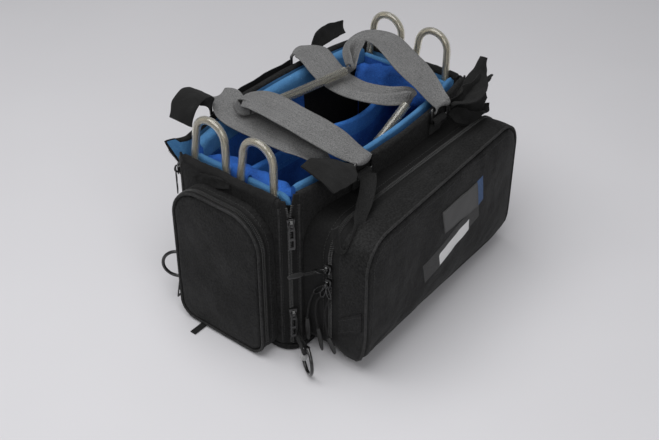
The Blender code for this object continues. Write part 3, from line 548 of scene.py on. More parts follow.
def bow(x, z):
    return BOW * max(0.0, 1 - (x / STRAIGHT) ** 2) * z / RIM


def wall_y(x, z):
    return HALF_WIDTH + bow(x, z)


def parting(from_zip, z):
    """How many degrees a corner edge stands back from its zip, above the slider."""
    rise = smooth_step((z - SLIDER_TOP - PART_START) / (RIM - SLIDER_TOP))
    return PART * rise * (1 - min(from_zip / PART_REACH, 1.0))


def corner_place(end, side, angle, z, from_wall):
    """A place on a rounded corner and its way out. Angles run from 0 on the end to 90 on the wall."""
    shift = parting(abs(angle - 45), z)
    turn = math.radians(angle + (shift if from_wall else -shift))
    out = Vector((end * math.cos(turn), side * math.sin(turn), 0))
    place = Vector((end * STRAIGHT, side * FLAT, z)) + CORNER * out
    if from_wall and end < 0 < side:
        near_zip = 1 - smooth_step((angle - 45) / 45)
        place += SPRUNG * smooth_step((z - SLIDER_TOP - SPRUNG_START) / SPRUNG_RISE) * near_zip
    return place, out


print("case", 2 * HALF_LENGTH, "by", 2 * HALF_WIDTH, "by", RIM)

# %% Padded skins
def spread(low, high, count):
    return [low + (high - low) * i / (count - 1) for i in range(count)]


def half_turn(start, count):
    """Angles over a rounded edge, from a start to the same place on its other side."""
    return spread(start, math.pi - start, count)


def skin(place, thick, top, sink):
    """A ring of a padded wall at one station: up the outside, over the rim and down the inside."""
    edge = thick / 2
    rows = [(0.0015, FOOT)] + [(0.0, z) for z in spread(FOOT + 0.002, top - edge, 18)]
    rows += [(edge - edge * math.cos(a), top - edge + edge * math.sin(a)) for a in half_turn(0.35, 6)]
    rows += [(thick, z) for z in spread(top - edge, FOOT, 9)]
    ring = []
    for depth, z in rows:
        point, out = place(z)
        ring.append(point - (depth + sink) * out)
    return ring


OUTSIDE = 25
NYLON, TAPED, LINED = range(3)


def taped(angle):
    return abs(angle - 45) <= TAPE_ANGLE


def padded_skin(name, stations, top, lined):
    """A padded panel through its stations, with zip tape at both edges, lined where lined(angle) is true."""
    rings = []
    for place, angle in stations:
        thick, sink = (TAPE, TAPE_SINK) if taped(angle) else (WALL, 0.0)
        rings.append(skin(place, thick, top, sink))

    def paint(i, j):
        if j >= OUTSIDE:
            return LINED if lined(stations[i][1]) else NYLON
        return TAPED if taped(stations[i][1]) and taped(stations[i + 1][1]) else NYLON

    return ring_mesh(name, rings, paint=paint)


print("skin rows outside", OUTSIDE)

# %% Long walls
WALL_ANGLES = [45 + ZIP_HALF, 52, 60, 67, 67.6, 72, 77, 82, 86, 90]


def make_wall(name, side):
    stations = [(lambda z, a=a: corner_place(-1, side, a, z, True), a) for a in WALL_ANGLES]
    for x in spread(-STRAIGHT * 0.96, STRAIGHT * 0.96, 45):
        stations.append((lambda z, x=x: (Vector((x, side * wall_y(x, z), z)), Vector((0, side, 0))), 90))
    stations += [(lambda z, a=a: corner_place(1, side, a, z, True), a) for a in WALL_ANGLES[::-1]]
    mesh = padded_skin(name, stations, RIM, lambda angle: side > 0 or angle >= 80)
    return crumple(mesh, 0.0006, 0.03, 1 + side, lambda p: 1.0 if abs(p.x) < STRAIGHT else 0.2)


for name, side in SIDES:
    mesh = make_wall(f"{name}_wall_cover", side)
    made = piece(mesh, [nylon, zip_tape, trim_blue], "case", [f"{name}_wall"])
print("walls made")

# %% End panels
PANEL_ANGLES = [45 - ZIP_HALF, 38, 30, 23, 22.4, 18, 13, 8, 4, 0]


def make_end(name, end):
    stations = [(lambda z, a=a: corner_place(end, -1, a, z, False), a) for a in PANEL_ANGLES]
    for y in spread(-FLAT * 0.94, FLAT * 0.94, 17):
        stations.append((lambda z, y=y: (Vector((end * HALF_LENGTH, y, z)), Vector((end, 0, 0))), 0))
    stations += [(lambda z, a=a: corner_place(end, 1, a, z, False), a) for a in PANEL_ANGLES[::-1]]
    mesh = padded_skin(name, stations, END_TOP, lambda angle: angle <= 10)
    return crumple(mesh, 0.0004, 0.025, 5 + end)


for name, end in ENDS:
    mesh = make_end(f"{name}_end_cover", end)
    made = piece(mesh, [nylon, zip_tape, trim_blue], f"{name}_end", [f"{name}_end_panel"])
print("end panels made")

# %% [markdown]
# ## Base and floor lining
# The base is a stiff board in nylon. A cube with a Bevel would do, but the base has to meet the case's
# round corners, so it is a stack of the same rounded outline with its edge drawn in. Inside lie a
# floor board in black, a black sheet behind it and the bare metal strip that keeps the bag open.

# %% Base
def rounded_box(left, right, front, back, radius, steps):
    """A rectangle with round corners, given by where the centres of its corners are."""
    outline = []
    for quarter, centre in enumerate(((right, back), (left, back), (left, front), (right, front))):
        outline += arc(centre, radius, 90 * quarter, 90 * quarter + 90, steps)
    return outline


def base_outline(inset):
    return rounded_box(-STRAIGHT, STRAIGHT, -FLAT, FLAT, CORNER - inset, 10)


BASE_LEVELS = [(0.0, 0.0045), (0.0005, 0.0022), (0.002, 0.0006), (0.004, 0.0), (0.0075, 0.0),
               (0.0092, 0.0006), (BASE, 0.0022)]
rings = [[(x, y, z) for x, y in base_outline(inset)] for z, inset in BASE_LEVELS]
piece(ring_mesh("base_cover", rings), nylon, "case", ["base_panel"])
BOARD_EDGE = 0.0008
BOARD_CORNER = 0.006
board_low, board_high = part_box("floor_board")
levels = ((board_low.z, BOARD_EDGE), (board_low.z + BOARD_EDGE, 0.0),
          (board_high.z - BOARD_EDGE, 0.0), (board_high.z, BOARD_EDGE))
rings = []
for z, inset in levels:
    outline = rounded_box(board_low.x + BOARD_CORNER, board_high.x - BOARD_CORNER, board_low.y + BOARD_CORNER,
                          board_high.y - BOARD_CORNER, BOARD_CORNER - inset, 6)
    rings.append([(x, y, z) for x, y in outline])
piece(ring_mesh("floor_board_cover", rings), dark_nylon_and_painted_shade, "case", ["floor_board"])
LINING = (0.0124, 0.0130)
LINING_HALF = 0.160
LINING_BACK = 0.074
edge = board_high.y + 0.001
rows = [(-LINING_HALF, edge), (LINING_HALF, edge), (LINING_HALF, LINING_BACK), (-LINING_HALF, LINING_BACK)]
rings = [[(x, y, z) for x, y in rows] for z in LINING]
piece(ring_mesh("floor_lining", rings), dark_nylon_and_painted_shade, "case")
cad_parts["frame_strip"].data.materials.clear()
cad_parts["frame_strip"].data.materials.append(aluminium)
print("base made")

# %% [markdown]
# ## Velvet pads
# The side pads stand behind a narrow slot inside the long walls. Each has a padded top in light blue
# and velvet below it. A cushion could be simulated, but these are thin boards whose shape is known, so
# each is a skin with a rolled top, and a smooth noise gives it the unevenness of sewn cloth.

# %% Side pads
LINING_FOOT = LINING[0]
SLOT = 0.006
PAD = 0.007
BACK_ROLL = 0.015
ROLL_DROP = 0.030
PINCH = 0.0006


def make_side_pad(name, side, roll):
    rings = []
    for x in spread(-STRAIGHT + 0.0005, STRAIGHT - 0.0005, 49):
        def depth(z, x=x):
            return wall_y(x, z) - WALL - SLOT

        tail = min((STRAIGHT - abs(x)) / 0.006, 1.0)
        edge = (roll / 2) * (0.4 + 0.6 * math.sqrt(max(tail, 0.0)))
        top, shoulder, neck = depth(RIM), RIM - roll / 2, RIM - ROLL_DROP
        rows = [(depth(z), z) for z in spread(LINING_FOOT, shoulder, 8)]
        rows += [(top - roll / 2 + edge * math.cos(a), shoulder + edge * math.sin(a))
                 for a in half_turn(0.25, 7)]
        for z in spread(shoulder, neck + 0.004, 5):
            pinch = PINCH * (1 - math.sin(math.pi * (RIM - z) / ROLL_DROP))
            rows.append((depth(z) - roll + pinch, z))
        rows += [(depth(z) - PAD, z) for z in spread(neck, LINING_FOOT, 6)]
        rings.append([(x, side * y, z) for y, z in rows])

    mesh = ring_mesh(name, rings, paint=lambda i, j: 1 if 5 <= j < 20 else 0)
    return crumple(mesh, 0.0005, 0.02, 11 + side)


for name, side, roll in (("front", -1, PAD), ("back", 1, BACK_ROLL)):
    mesh = make_side_pad(f"{name}_lining_pad", side, roll)
    made = piece(mesh, [velvet, trim_blue], "case", [f"{name}_inner_pad"])
print("side pads made")

# %% End pads
PAD_X = 0.1681
END_PAD = 0.0075
END_PAD_TOP = 0.221
END_PAD_HALF = 0.078
END_PAD_DROP = 0.012
BELLY = 0.001


def make_end_pad(name, end):
    rings = []
    for y in spread(-END_PAD_HALF, END_PAD_HALF, 27):
        tail = math.sqrt(max(min((END_PAD_HALF - abs(y)) / 0.01, 1.0), 0.0))
        drop = END_PAD_DROP * (1 - tail)
        edge = END_PAD / 2 * (0.5 + 0.5 * tail)
        middle = PAD_X - END_PAD / 2
        top = END_PAD_TOP - drop - edge
        rows = [(middle + edge, z) for z in spread(LINING_FOOT, top, 9)]
        rows += [(middle + edge * math.cos(a), top + edge * math.sin(a)) for a in half_turn(0.3, 5)]
        rows += [(middle - edge - BELLY * math.sin(math.pi * (top - z) / top), z)
                 for z in spread(top, LINING_FOOT, 9)]
        rings.append([(end * x, y, z) for x, z in rows])
    mesh = ring_mesh(name, rings, paint=lambda i, j: 1 if 7 <= j < 14 else 0)
    return crumple(mesh, 0.0006, 0.022, 21 + end)


for name, end in ENDS:
    mesh = make_end_pad(f"{name}_velvet_pad", end)
    made = piece(mesh, [velvet, trim_blue], "case", [f"{name}_end_pad"])
print("end pads made")

# %% [markdown]
# ## Creased velvet
# At both ends loose velvet is bunched inside the pad. A cloth simulation would take long and land
# anywhere, so each fold is a soft roll that two sizes of noise crease: large folds, then small ones.

# %% Velvet folds
ROLL_X, ROLL_Z = 0.1440, 0.1995
ROLL_WIDE, ROLL_HIGH = 0.0185, 0.0150
ROLL_TILT = 0.006
ROLL_CREASES = ((0.0065, 0.018, 27), (0.0024, 0.007, 28))
turns = [2 * math.pi * i / 28 for i in range(28)]
for name, end, low, high in (("near", -1, -0.066, 0.072), ("far", 1, -0.060, 0.066)):
    rings = []
    for y in spread(low, high, 40):
        aside = (2 * y - low - high) / (high - low)
        swell = math.sqrt(max(1 - aside ** 4, 0.05))
        rings.append([(end * (ROLL_X - ROLL_WIDE * math.cos(t) * swell), y,
                       ROLL_Z + ROLL_HIGH * math.sin(t) * swell - ROLL_TILT * math.cos(t)) for t in turns])
    mesh = ring_mesh(f"{name}_velvet_fold", rings)
    for amount, size, seed in ROLL_CREASES:
        crumple(mesh, amount, size, seed)
    piece(mesh, velvet, "case")
print("velvet folds made")

# %% [markdown]
# ## Curved divider
# A padded wall runs along the inside and dips towards the front beyond its middle, as a soft wall does
# where it is pushed. A bent plane could be drawn point by point, but one smooth dip says the same.

# %% Divider
DIVIDER = 0.008
DIVIDER_TOP = 0.200
DIVIDER_Y = 0.020
DIP = 0.024
DIP_X = 0.067
DIP_WIDE = 0.070


def divider_y(x):
    return DIVIDER_Y - DIP * math.exp(-((x - DIP_X) / DIP_WIDE) ** 2)


rings = []
reach = PAD_X - END_PAD - 0.0012
divider_foot = LINING_FOOT + 0.0012
for share in spread(-1, 1, 45):
    middle = divider_y(share * reach)
    half = DIVIDER / 2
    top = DIVIDER_TOP - half - 0.003 * abs(math.sin(share * 4.0))
    rows = [(middle - half, z) for z in spread(divider_foot, top, 10)]
    rows += [(middle - half * math.cos(a), top + half * math.sin(a)) for a in half_turn(0.3, 5)]
    rows += [(middle + half, z) for z in spread(top, divider_foot, 10)]
    rings.append([(share * reach, y, z) for y, z in rows])
mesh = ring_mesh("velvet_divider", rings, paint=lambda i, j: 1 if 8 <= j < 16 else 0)
crumple(mesh, 0.0007, 0.03, 31)
made = piece(mesh, [velvet, band_blue], "case", ["curved_divider"])
print("divider made")

# %% [markdown]
# ## Sleeved wire loops
# One steel wire stands at each end and rises in two loops. A clear tube covers each loop, and the
# bare wire shows where the tube ends. A torus could give the crowns, but then the legs would need
# joining, so wire and tube are both swept along one path, and the tube is given a real bore.

# %% Loops
LOOP_X = 0.1734
WIRE = 0.0033
SLEEVE = 0.005
SLEEVE_BORE = 0.0038
LOOP_PITCH = 0.074
LOOP_RADIUS = 0.0225
LOOP_SPRING = END_TOP + 0.056 - LOOP_RADIUS
SLEEVE_FOOT = END_TOP - 0.021
WIRE_FOOT = FOOT + 0.020
LINK_RADIUS = LOOP_PITCH / 2 - LOOP_RADIUS
LEAN = 0.007


def splay(aside, z):
    """The wire is springy, so the leg on the back side leans out towards its foot."""
    return LEAN * smooth_step((aside / LOOP_RADIUS + 1) / 2) * smooth_step((END_TOP + 0.045 - z) / 0.06)


def loop_path(end, middle, foot, steps=28):
    crown = arc((middle, LOOP_SPRING), LOOP_RADIUS, 180, 0, steps)
    legs = spread(foot, LOOP_SPRING, 12)[:-1]
    left = [(middle - LOOP_RADIUS, z) for z in legs]
    right = [(middle + LOOP_RADIUS, z) for z in legs[::-1]]
    return [Vector((end * LOOP_X, y + splay(y - middle, z), z)) for y, z in left + crown + right]


for name, end in ENDS:
    first = loop_path(end, -LOOP_PITCH / 2, WIRE_FOOT)
    second = loop_path(end, LOOP_PITCH / 2, WIRE_FOOT)
    link_turn = arc((LEAN / 2, WIRE_FOOT + LINK_RADIUS), LINK_RADIUS - LEAN / 2, 190, 350, 12)
    link = [Vector((end * LOOP_X, y, z)) for y, z in link_turn]
    wire = first[:-1] + link + second[1:]
    mesh = bar(f"{name}_steel_wire", wire, WIRE, 14)
    piece(mesh, steel, "case", [f"{name}_loop_wire"])
    for place, middle in (("front", -LOOP_PITCH / 2), ("back", LOOP_PITCH / 2)):
        mesh = pipe(f"{name}_{place}_tube", loop_path(end, middle, SLEEVE_FOOT), SLEEVE, SLEEVE_BORE)
        piece(mesh, clear_tube, "case", [f"{name}_{place}_loop_sleeve"])
print("loops made")

# %% [markdown]
# ## Sewn rows by Geometry Nodes
# Zip teeth and stitches are one small shape many times over. A row is kept as bare points that know
# which way the row runs and which way is out. One node tree puts a rounded bead on every point and
# turns it to suit, so a zip and a line of stitches differ only in the sizes that the tree is given.

# %% The row tree
def make_row_tree():
    tree = bpy.data.node_groups.new("sewn_row", "GeometryNodeTree")
    face = tree.interface
    face.new_socket("Geometry", in_out="INPUT", socket_type="NodeSocketGeometry")
    for size in ("Long", "Wide", "High"):
        face.new_socket(size, in_out="INPUT", socket_type="NodeSocketFloat")
    face.new_socket("Finish", in_out="INPUT", socket_type="NodeSocketMaterial")
    face.new_socket("Geometry", in_out="OUTPUT", socket_type="NodeSocketGeometry")
    put = tree.nodes.new
    join = tree.links.new
    given, result = put("NodeGroupInput"), put("NodeGroupOutput")
    ways = []
    for name in ("along", "out"):
        way = put("GeometryNodeInputNamedAttribute")
        way.data_type = "FLOAT_VECTOR"
        way.inputs["Name"].default_value = name
        ways.append(way.outputs["Attribute"])
    aim, roll = put("FunctionNodeAlignRotationToVector"), put("FunctionNodeAlignRotationToVector")
    aim.axis = "X"
    roll.axis, roll.pivot_axis = "Z", "X"
    join(ways[0], aim.inputs["Vector"])
    join(ways[1], roll.inputs["Vector"])
    join(aim.outputs["Rotation"], roll.inputs["Rotation"])
    bead = put("GeometryNodeMeshUVSphere")
    bead.inputs["Segments"].default_value = 8
    bead.inputs["Rings"].default_value = 4
    bead.inputs["Radius"].default_value = 0.5
    size = put("ShaderNodeCombineXYZ")
    for axis, name in zip("XYZ", ("Long", "Wide", "High")):
        join(given.outputs[name], size.inputs[axis])
    set_out, real = put("GeometryNodeInstanceOnPoints"), put("GeometryNodeRealizeInstances")
    coat = put("GeometryNodeSetMaterial")
    join(given.outputs["Geometry"], set_out.inputs["Points"])
    join(bead.outputs["Mesh"], set_out.inputs["Instance"])
    join(roll.outputs["Rotation"], set_out.inputs["Rotation"])
    join(size.outputs["Vector"], set_out.inputs["Scale"])
    join(set_out.outputs["Instances"], real.inputs["Geometry"])
    join(real.outputs["Geometry"], coat.inputs["Geometry"])
    join(given.outputs["Finish"], coat.inputs["Material"])
    join(coat.outputs["Geometry"], result.inputs["Geometry"])
    return tree


ROW_TREE = make_row_tree()
print("row tree nodes", len(ROW_TREE.nodes))

# %% Rows of teeth and stitches
def paced(rows, pitch, start=0.0):
    """Places at an even pace along rows of (point, way out): point, way along, way out."""
    places = []
    left = start
    for (a, out_a), (b, out_b) in zip(rows, rows[1:]):
        step = (b - a).length
        if step < 1e-7:
            continue
        while left <= step:
            share = left / step
            places.append((a.lerp(b, share), (b - a) / step, out_a.lerp(out_b, share).normalized()))
            left += pitch
        left -= step
    return places


def row_mesh(name, places, size, finish):
    """Runs the row tree on bare points and keeps the result as a plain mesh."""
    points = bpy.data.meshes.new(name)
    points.from_pydata([place[0] for place in places], [], [])
    for slot, attribute in ((1, "along"), (2, "out")):
        layer = points.attributes.new(attribute, "FLOAT_VECTOR", "POINT")
        layer.data.foreach_set("vector", [value for place in places for value in place[slot]])
    host = bpy.data.objects.new(name, points)
    scene.collection.objects.link(host)
    rows = host.modifiers.new("rows", "NODES")
    rows.node_group = ROW_TREE
    values = dict(zip(("Long", "Wide", "High"), size), Finish=finish)
    for item in ROW_TREE.interface.items_tree:
        if item.in_out == "INPUT" and item.name in values:
            rows[item.identifier] = values[item.name]
    mesh = bpy.data.meshes.new_from_object(host.evaluated_get(bpy.context.evaluated_depsgraph_get()))
    bpy.data.objects.remove(host)
    for attribute in ("along", "out"):
        if attribute in mesh.attributes:
            mesh.attributes.remove(mesh.attributes[attribute])
    mesh.name = name
    return mesh


TOOTH = (0.0012, 0.0035, 0.0022)
TOOTH_PITCH = 0.0023
STITCH = (0.0028, 0.0006, 0.0005)
STITCH_PITCH = 0.0042


def teeth(name, paths, body, start):
    """One row of zip teeth on each path, which starts a share of the pitch along it."""
    places = [place for rows in paths for place in paced(rows, TOOTH_PITCH, start * TOOTH_PITCH)]
    # The teeth's paler grey is a painted highlight on the beads.
    piece(row_mesh(name, places, TOOTH, coil_plastic_painted_highlight), [], body, name=name)
    return len(places)


def stitches(name, paths, body, finish=thread):
    places = [place for rows in paths for place in paced(rows, STITCH_PITCH)]
    piece(row_mesh(name, places, STITCH, finish), [], body, name=name)
    return len(places)


print("pitch of teeth", TOOTH_PITCH, "and stitches", STITCH_PITCH)

# %% [markdown]
# ## Stuffed panels by simulation
# A lid's face is foam under stretched cloth, so it swells between its edges. A sculpted bulge looks too
# even. Here the panel is remeshed, held along its sewn edge, and blown up a little as cloth under
# pressure, which finds the swelling by itself. No point may move far.

# %% The stuffing helper
def evaluated(thing):
    return bpy.data.meshes.new_from_object(thing.evaluated_get(bpy.context.evaluated_depsgraph_get()))


def stuff(name, mesh, held, voxel=0.004, pressure=4.0, cap=0.004):
    """Swells a closed mesh as cloth under pressure, held where held(point) is true."""
    thing = bpy.data.objects.new(name, mesh)
    scene.collection.objects.link(thing)
    remesh = thing.modifiers.new("remesh", "REMESH")
    remesh.mode = "VOXEL"
    remesh.voxel_size = voxel
    thing.data = evaluated(thing)
    thing.modifiers.clear()
    before = [v.co.copy() for v in thing.data.vertices]
    edge = thing.vertex_groups.new(name="sewn_edge")
    edge.add([i for i, point in enumerate(before) if held(point)], 1.0, "REPLACE")
    cloth = thing.modifiers.new("cloth", "CLOTH")
    cloth.settings.use_pressure = True
    cloth.settings.uniform_pressure_force = pressure
    cloth.settings.vertex_group_mass = "sewn_edge"
    cloth.settings.effector_weights.gravity = 0
    cloth.point_cache.frame_end = 20
    for step in range(1, 21):
        scene.frame_set(step)
    after = evaluated(thing)
    thing.modifiers.clear()
    for vert, old, new in zip(thing.data.vertices, before, after.vertices):
        move = new.co - old
        vert.co = old + move * min(1.0, cap / max(move.length, 1e-9))
    scene.frame_set(1)
    finer = thing.modifiers.new("finer", "SUBSURF")
    finer.levels = 1
    result = evaluated(thing)
    bpy.data.objects.remove(thing)
    result.materials.clear()
    result.name = name
    print(name, "panel points", len(result.vertices))
    return result


print("stuffing helper ready")

# %% [markdown]
# ## End pockets
# Each end carries a tombstone-shaped pocket: a shallow gusset sewn to the panel and a padded lid.
# A zip runs between them up both sides and over the top, and the lid folds down about its foot. The
# lid is three things: a taped rim, a piped edge and the stuffed panel inside it.

# %% Outlines
POCKET_HALF = HALF_WIDTH - 0.025
POCKET_CORNER = 0.045
POCKET_FOOT_CORNER = 0.022
POCKET_FOOT = 0.003
POCKET_TOP = END_TOP - 0.021
TRAY_BACK = HALF_LENGTH + 0.0003
TRAY_FRONT = TRAY_BACK + 0.0187
LID_BACK = TRAY_FRONT + 0.0003
POCKET_WALL = 0.003


def arch(left, right, foot, top, radius, foot_radius, inset=0.0, foot_inset=None, steps=12):
    """An upright outline with large rounded top corners and small ones below, anticlockwise."""
    left += inset
    right -= inset
    top -= inset
    foot += inset if foot_inset is None else foot_inset
    big = max(radius - inset, 0.002)
    small = max(foot_radius - inset, 0.0015)
    return (
        arc((left + small, foot + small), small, 180, 270, 5)
        + [(left + small + (right - left - 2 * small) * i / steps, foot) for i in range(1, steps)]
        + arc((right - small, foot + small), small, 270, 360, 5)
        + [(right, foot + small + (top - big - foot - small) * i / steps) for i in range(1, steps)]
        + arc((right - big, top - big), big, 0, 90, 14)
        + [(right - big - (right - left - 2 * big) * i / steps, top) for i in range(1, steps)]
        + arc((left + big, top - big), big, 90, 180, 14)
        + [(left, top - big - (top - big - foot - small) * i / steps) for i in range(1, steps)]
    )


print("arch helper ready")

# %% Rows on an outline
def zipped_part(outline, steps):
    """The part of an arch that its zip follows: up the right side, over the top and down the left."""
    return outline[steps + 10:] + outline[:1]


def ways_out(path):
    """Each point (u, v) of an anticlockwise path with its way out."""
    found = []
    for i, point in enumerate(path):
        before = path[max(i - 1, 0)]
        after = path[min(i + 1, len(path) - 1)]
        way = Vector((after[1] - before[1], before[0] - after[0])).normalized()
        found.append((point, way))
    return found


def end_arch(inset=0.0, foot_inset=None):
    return arch(-POCKET_HALF, POCKET_HALF, POCKET_FOOT, POCKET_TOP, POCKET_CORNER, POCKET_FOOT_CORNER,
                inset, foot_inset)


def end_row(end, depth, lift):
    """A path for a row on the end pocket's outline, at a depth along the bag."""
    rows = ways_out(zipped_part(end_arch(-lift), 12))
    return [(Vector((end * depth, *point)), Vector((0, *way))) for point, way in rows]


def band_ring(outlines, place):
    """Turns a list of outlines into rings across them, one for each point of the outline."""
    return [[place(row, point) for row, point in enumerate(points)] for points in zip(*outlines)]


print("end pocket outline", len(end_arch()), "points")

# %% Gussets, rims, panels and piping
TRAY_ROWS = [(TRAY_BACK, 0.0), (TRAY_BACK + 0.003, -0.0004), (TRAY_BACK + 0.008, 0.0),
             (TRAY_FRONT - 0.0082, 0.0002), (TRAY_FRONT - 0.0072, 0.0009), (TRAY_FRONT - 0.003, 0.0009),
             (TRAY_FRONT, 0.0009), (TRAY_FRONT, POCKET_WALL), (TRAY_FRONT - 0.008, POCKET_WALL),
             (TRAY_BACK, POCKET_WALL)]
RIM_ROWS = [(0.0, 0.0009), (0.0032, 0.0008), (0.0038, 0.0), (0.0052, -0.0005), (0.0064, 0.0),
            (0.0064, 0.0040), (0.0, 0.0040)]
PANEL_ROWS = [(0.0012, 0.045), (0.0012, 0.020), (0.0014, 0.0042), (0.0052, 0.0032), (0.0068, 0.0034),
              (0.0082, 0.0060), (0.0086, 0.013), (0.0088, 0.028), (0.0088, 0.045)]
PIPING = 0.0017
SEAM = 0.0075
SEAM_CORNER = 0.0375
SEAM_FOOT_CORNER = 0.0145


def panel_sewn(point):
    """Whether a point of an end lid's panel lies outside the seam that holds it."""
    aside = abs(point.y) - (POCKET_HALF - SEAM)
    above = point.z - (POCKET_TOP - SEAM)
    high = max(aside + SEAM_CORNER, 0.0), max(above + SEAM_CORNER, 0.0)
    low = max(aside + SEAM_FOOT_CORNER, 0.0), max(POCKET_FOOT + SEAM + SEAM_FOOT_CORNER - point.z, 0.0)
    return math.hypot(*high) > SEAM_CORNER or math.hypot(*low) > SEAM_FOOT_CORNER


def off_rim(point):
    """0 at an end lid's rim and 1 on its face, so that creases stay on the face."""
    return smooth_step((abs(point.x) - LID_BACK - 0.005) / 0.003)


for name, end in ENDS:
    outlines = [end_arch(inset) for _, inset in TRAY_ROWS]
    rings = band_ring(outlines, lambda row, p: (end * TRAY_ROWS[row][0], *p))
    mesh = ring_mesh(f"{name}_pocket_gusset", rings, closed=True, paint=lambda i, j: 1 if 4 <= j < 7 else 0)
    piece(mesh, [nylon, zip_tape], f"{name}_end", [f"{name}_pocket_tray"])
    outlines = [end_arch(inset) for _, inset in RIM_ROWS]
    rings = band_ring(outlines, lambda row, p: (end * (LID_BACK + RIM_ROWS[row][0]), *p))
    mesh = ring_mesh(f"{name}_pocket_rim", rings, closed=True, paint=lambda i, j: 1 if j < 2 else 0)
    piece(mesh, [nylon, zip_tape], f"{name}_lid")
    rings = [[(end * (LID_BACK + depth), *p) for p in end_arch(inset)] for depth, inset in PANEL_ROWS]
    mesh = stuff(f"{name}_pocket_cover", ring_mesh(f"{name}_panel", rings), panel_sewn, 0.0038, 4.0, 0.0022)
    crumple(mesh, 0.0012, 0.045, 41 + end, off_rim)
    crumple(mesh, 0.0004, 0.013, 43 + end, off_rim)
    made = piece(mesh, nylon, f"{name}_lid", [f"{name}_pocket_lid"])
    path = [(end * (LID_BACK + 0.0068), *p) for p in end_arch(0.0016)]
    # The piping's paler nylon is a painted highlight along the cord.
    piece(bar(f"{name}_pocket_piping", path, PIPING, 10, True), piping_nylon_painted_highlight, f"{name}_lid")
print("end pockets made")

# %% [markdown]
# ## Front pocket
# The large pocket has a gusset sewn to the front wall and a deep lid with a crowned face. Its far end
# flares out towards the zip, its top corners are generously round, and the near end is stuffed so
# that the face stands out there.

# %% Front pocket outlines
FRONT_LEFT = -0.166
FRONT_RIGHT = 0.184
FRONT_FOOT = 0.009
FRONT_TOP = 0.200
FRONT_FLARE = 0.012
FRONT_CORNER = 0.042
FRONT_FOOT_CORNER = 0.032
ZIP_Y = -0.135
FACE_DEPTH = 0.029
SAG = 0.0075
TUCK = 0.015
FRONT_STEPS = 20


def front_arch(inset=0.0, foot_inset=None, flare=0.0):
    return arch(FRONT_LEFT, FRONT_RIGHT - flare, FRONT_FOOT, FRONT_TOP, FRONT_CORNER, FRONT_FOOT_CORNER,
                inset, foot_inset, FRONT_STEPS)


def face_bulge(x, z):
    """How far the lid's face stands out: most at its near end, less towards the far end and the foot."""
    share = (x - FRONT_LEFT) / (FRONT_RIGHT - FRONT_LEFT)
    rise = min(max(z - FRONT_FOOT, 0.0) / 0.060, 1.0)
    return (0.007 + 0.015 * (1 - (1 - rise) ** 2)) * (1 - 0.8 * share)


def lid_point(x, z, depth):
    """A place on the lid: it bulges towards the face, sags at its near foot and rounds under there."""
    near = 1 - smooth_step((x - FRONT_LEFT) / 0.22)
    rise = z - FRONT_FOOT
    sag = SAG * near * (1 - smooth_step(rise / 0.045)) * smooth_step(depth / 0.016)
    tuck = TUCK * (0.4 + 0.6 * near) * (1 - smooth_step(rise / 0.028)) * smooth_step((depth - 0.012) / 0.016)
    bulge = face_bulge(x, z) * min(depth / FACE_DEPTH, 1.0)
    return Vector((x, ZIP_Y - depth - bulge + tuck, z - sag))


def front_row(y, lift):
    rows = ways_out(zipped_part(front_arch(-lift), FRONT_STEPS))
    return [(Vector((point[0], y, point[1])), Vector((way[0], 0, way[1]))) for point, way in rows]


def off_foot(point, rise):
    """0 at the front pocket's foot and 1 a little above it."""
    return smooth_step((point.z - 0.012) / rise)


print("front pocket outline", len(front_arch()), "points")

# %% Front gusset
sewn_edge = front_arch(flare=FRONT_FLARE)
sewn_lip = front_arch(POCKET_WALL, flare=FRONT_FLARE)
zip_edge = front_arch()
zip_lip = front_arch(POCKET_WALL)
rings = []
for outer, inner, edge, lip in zip(sewn_edge, sewn_lip, zip_edge, zip_lip):
    back = Vector((outer[0], -wall_y(*outer) - 0.0003, outer[1]))
    fore = Vector((edge[0], ZIP_Y, edge[1]))
    inner_back = Vector((inner[0], -wall_y(*inner) - 0.0003, inner[1]))
    inner_fore = Vector((lip[0], ZIP_Y, lip[1]))
    sunk = (inner_fore - fore) * 0.3
    ring = [back.lerp(fore, share) for share in (0.0, 0.2, 0.4, 0.6, 0.72)]
    ring += [back.lerp(fore, 0.78) + sunk, back.lerp(fore, 0.9) + sunk, fore + sunk, inner_fore, inner_back]
    rings.append(ring)
mesh = ring_mesh("front_pocket_gusset", rings, closed=True, paint=lambda i, j: 1 if 5 <= j < 8 else 0)
crumple(mesh, 0.0008, 0.02, 51, lambda p: smooth_step((-p.y - 0.1) / 0.01) * off_foot(p, 0.01))
# The gusset's darker nylon is painted shade, where the lid above it shadows it.
piece(mesh, [dark_nylon_and_painted_shade, zip_tape], "case", ["front_pocket_tray"])
print("front gusset made")

# %% Front lid
SIDE_ROWS = [(0.0003, 0.0009), (0.006, 0.0009), (0.0072, 0.0), (0.013, -0.0006), (0.020, -0.0006),
             (0.0265, 0.0), (0.0290, 0.0008), (0.0290, 0.0045), (0.0003, 0.0040)]
FACE_ROWS = [(0.0225, 0.078), (0.0225, 0.045), (0.0225, 0.012), (0.0232, 0.0052), (0.0265, 0.0036),
             (0.0295, 0.0034), (0.0318, 0.0056), (0.0334, 0.011), (0.0342, 0.022), (0.0346, 0.040),
             (0.0347, 0.060), (0.0347, 0.078)]
FACE_HELD = 0.008
HELD_CORNER = 0.034
HELD_FOOT_CORNER = 0.012
outlines = [front_arch(inset, 0.0003 + max(inset, 0.0)) for _, inset in SIDE_ROWS]
rings = band_ring(outlines, lambda row, p: lid_point(*p, SIDE_ROWS[row][0]))
mesh = ring_mesh("front_pocket_rim", rings, closed=True, paint=lambda i, j: 1 if j < 2 else 0)
crumple(mesh, 0.0012, 0.025, 63, lambda p: smooth_step((ZIP_Y - 0.009 - p.y) / 0.01) * off_foot(p, 0.02))
piece(mesh, [nylon, zip_tape], "front_lid")
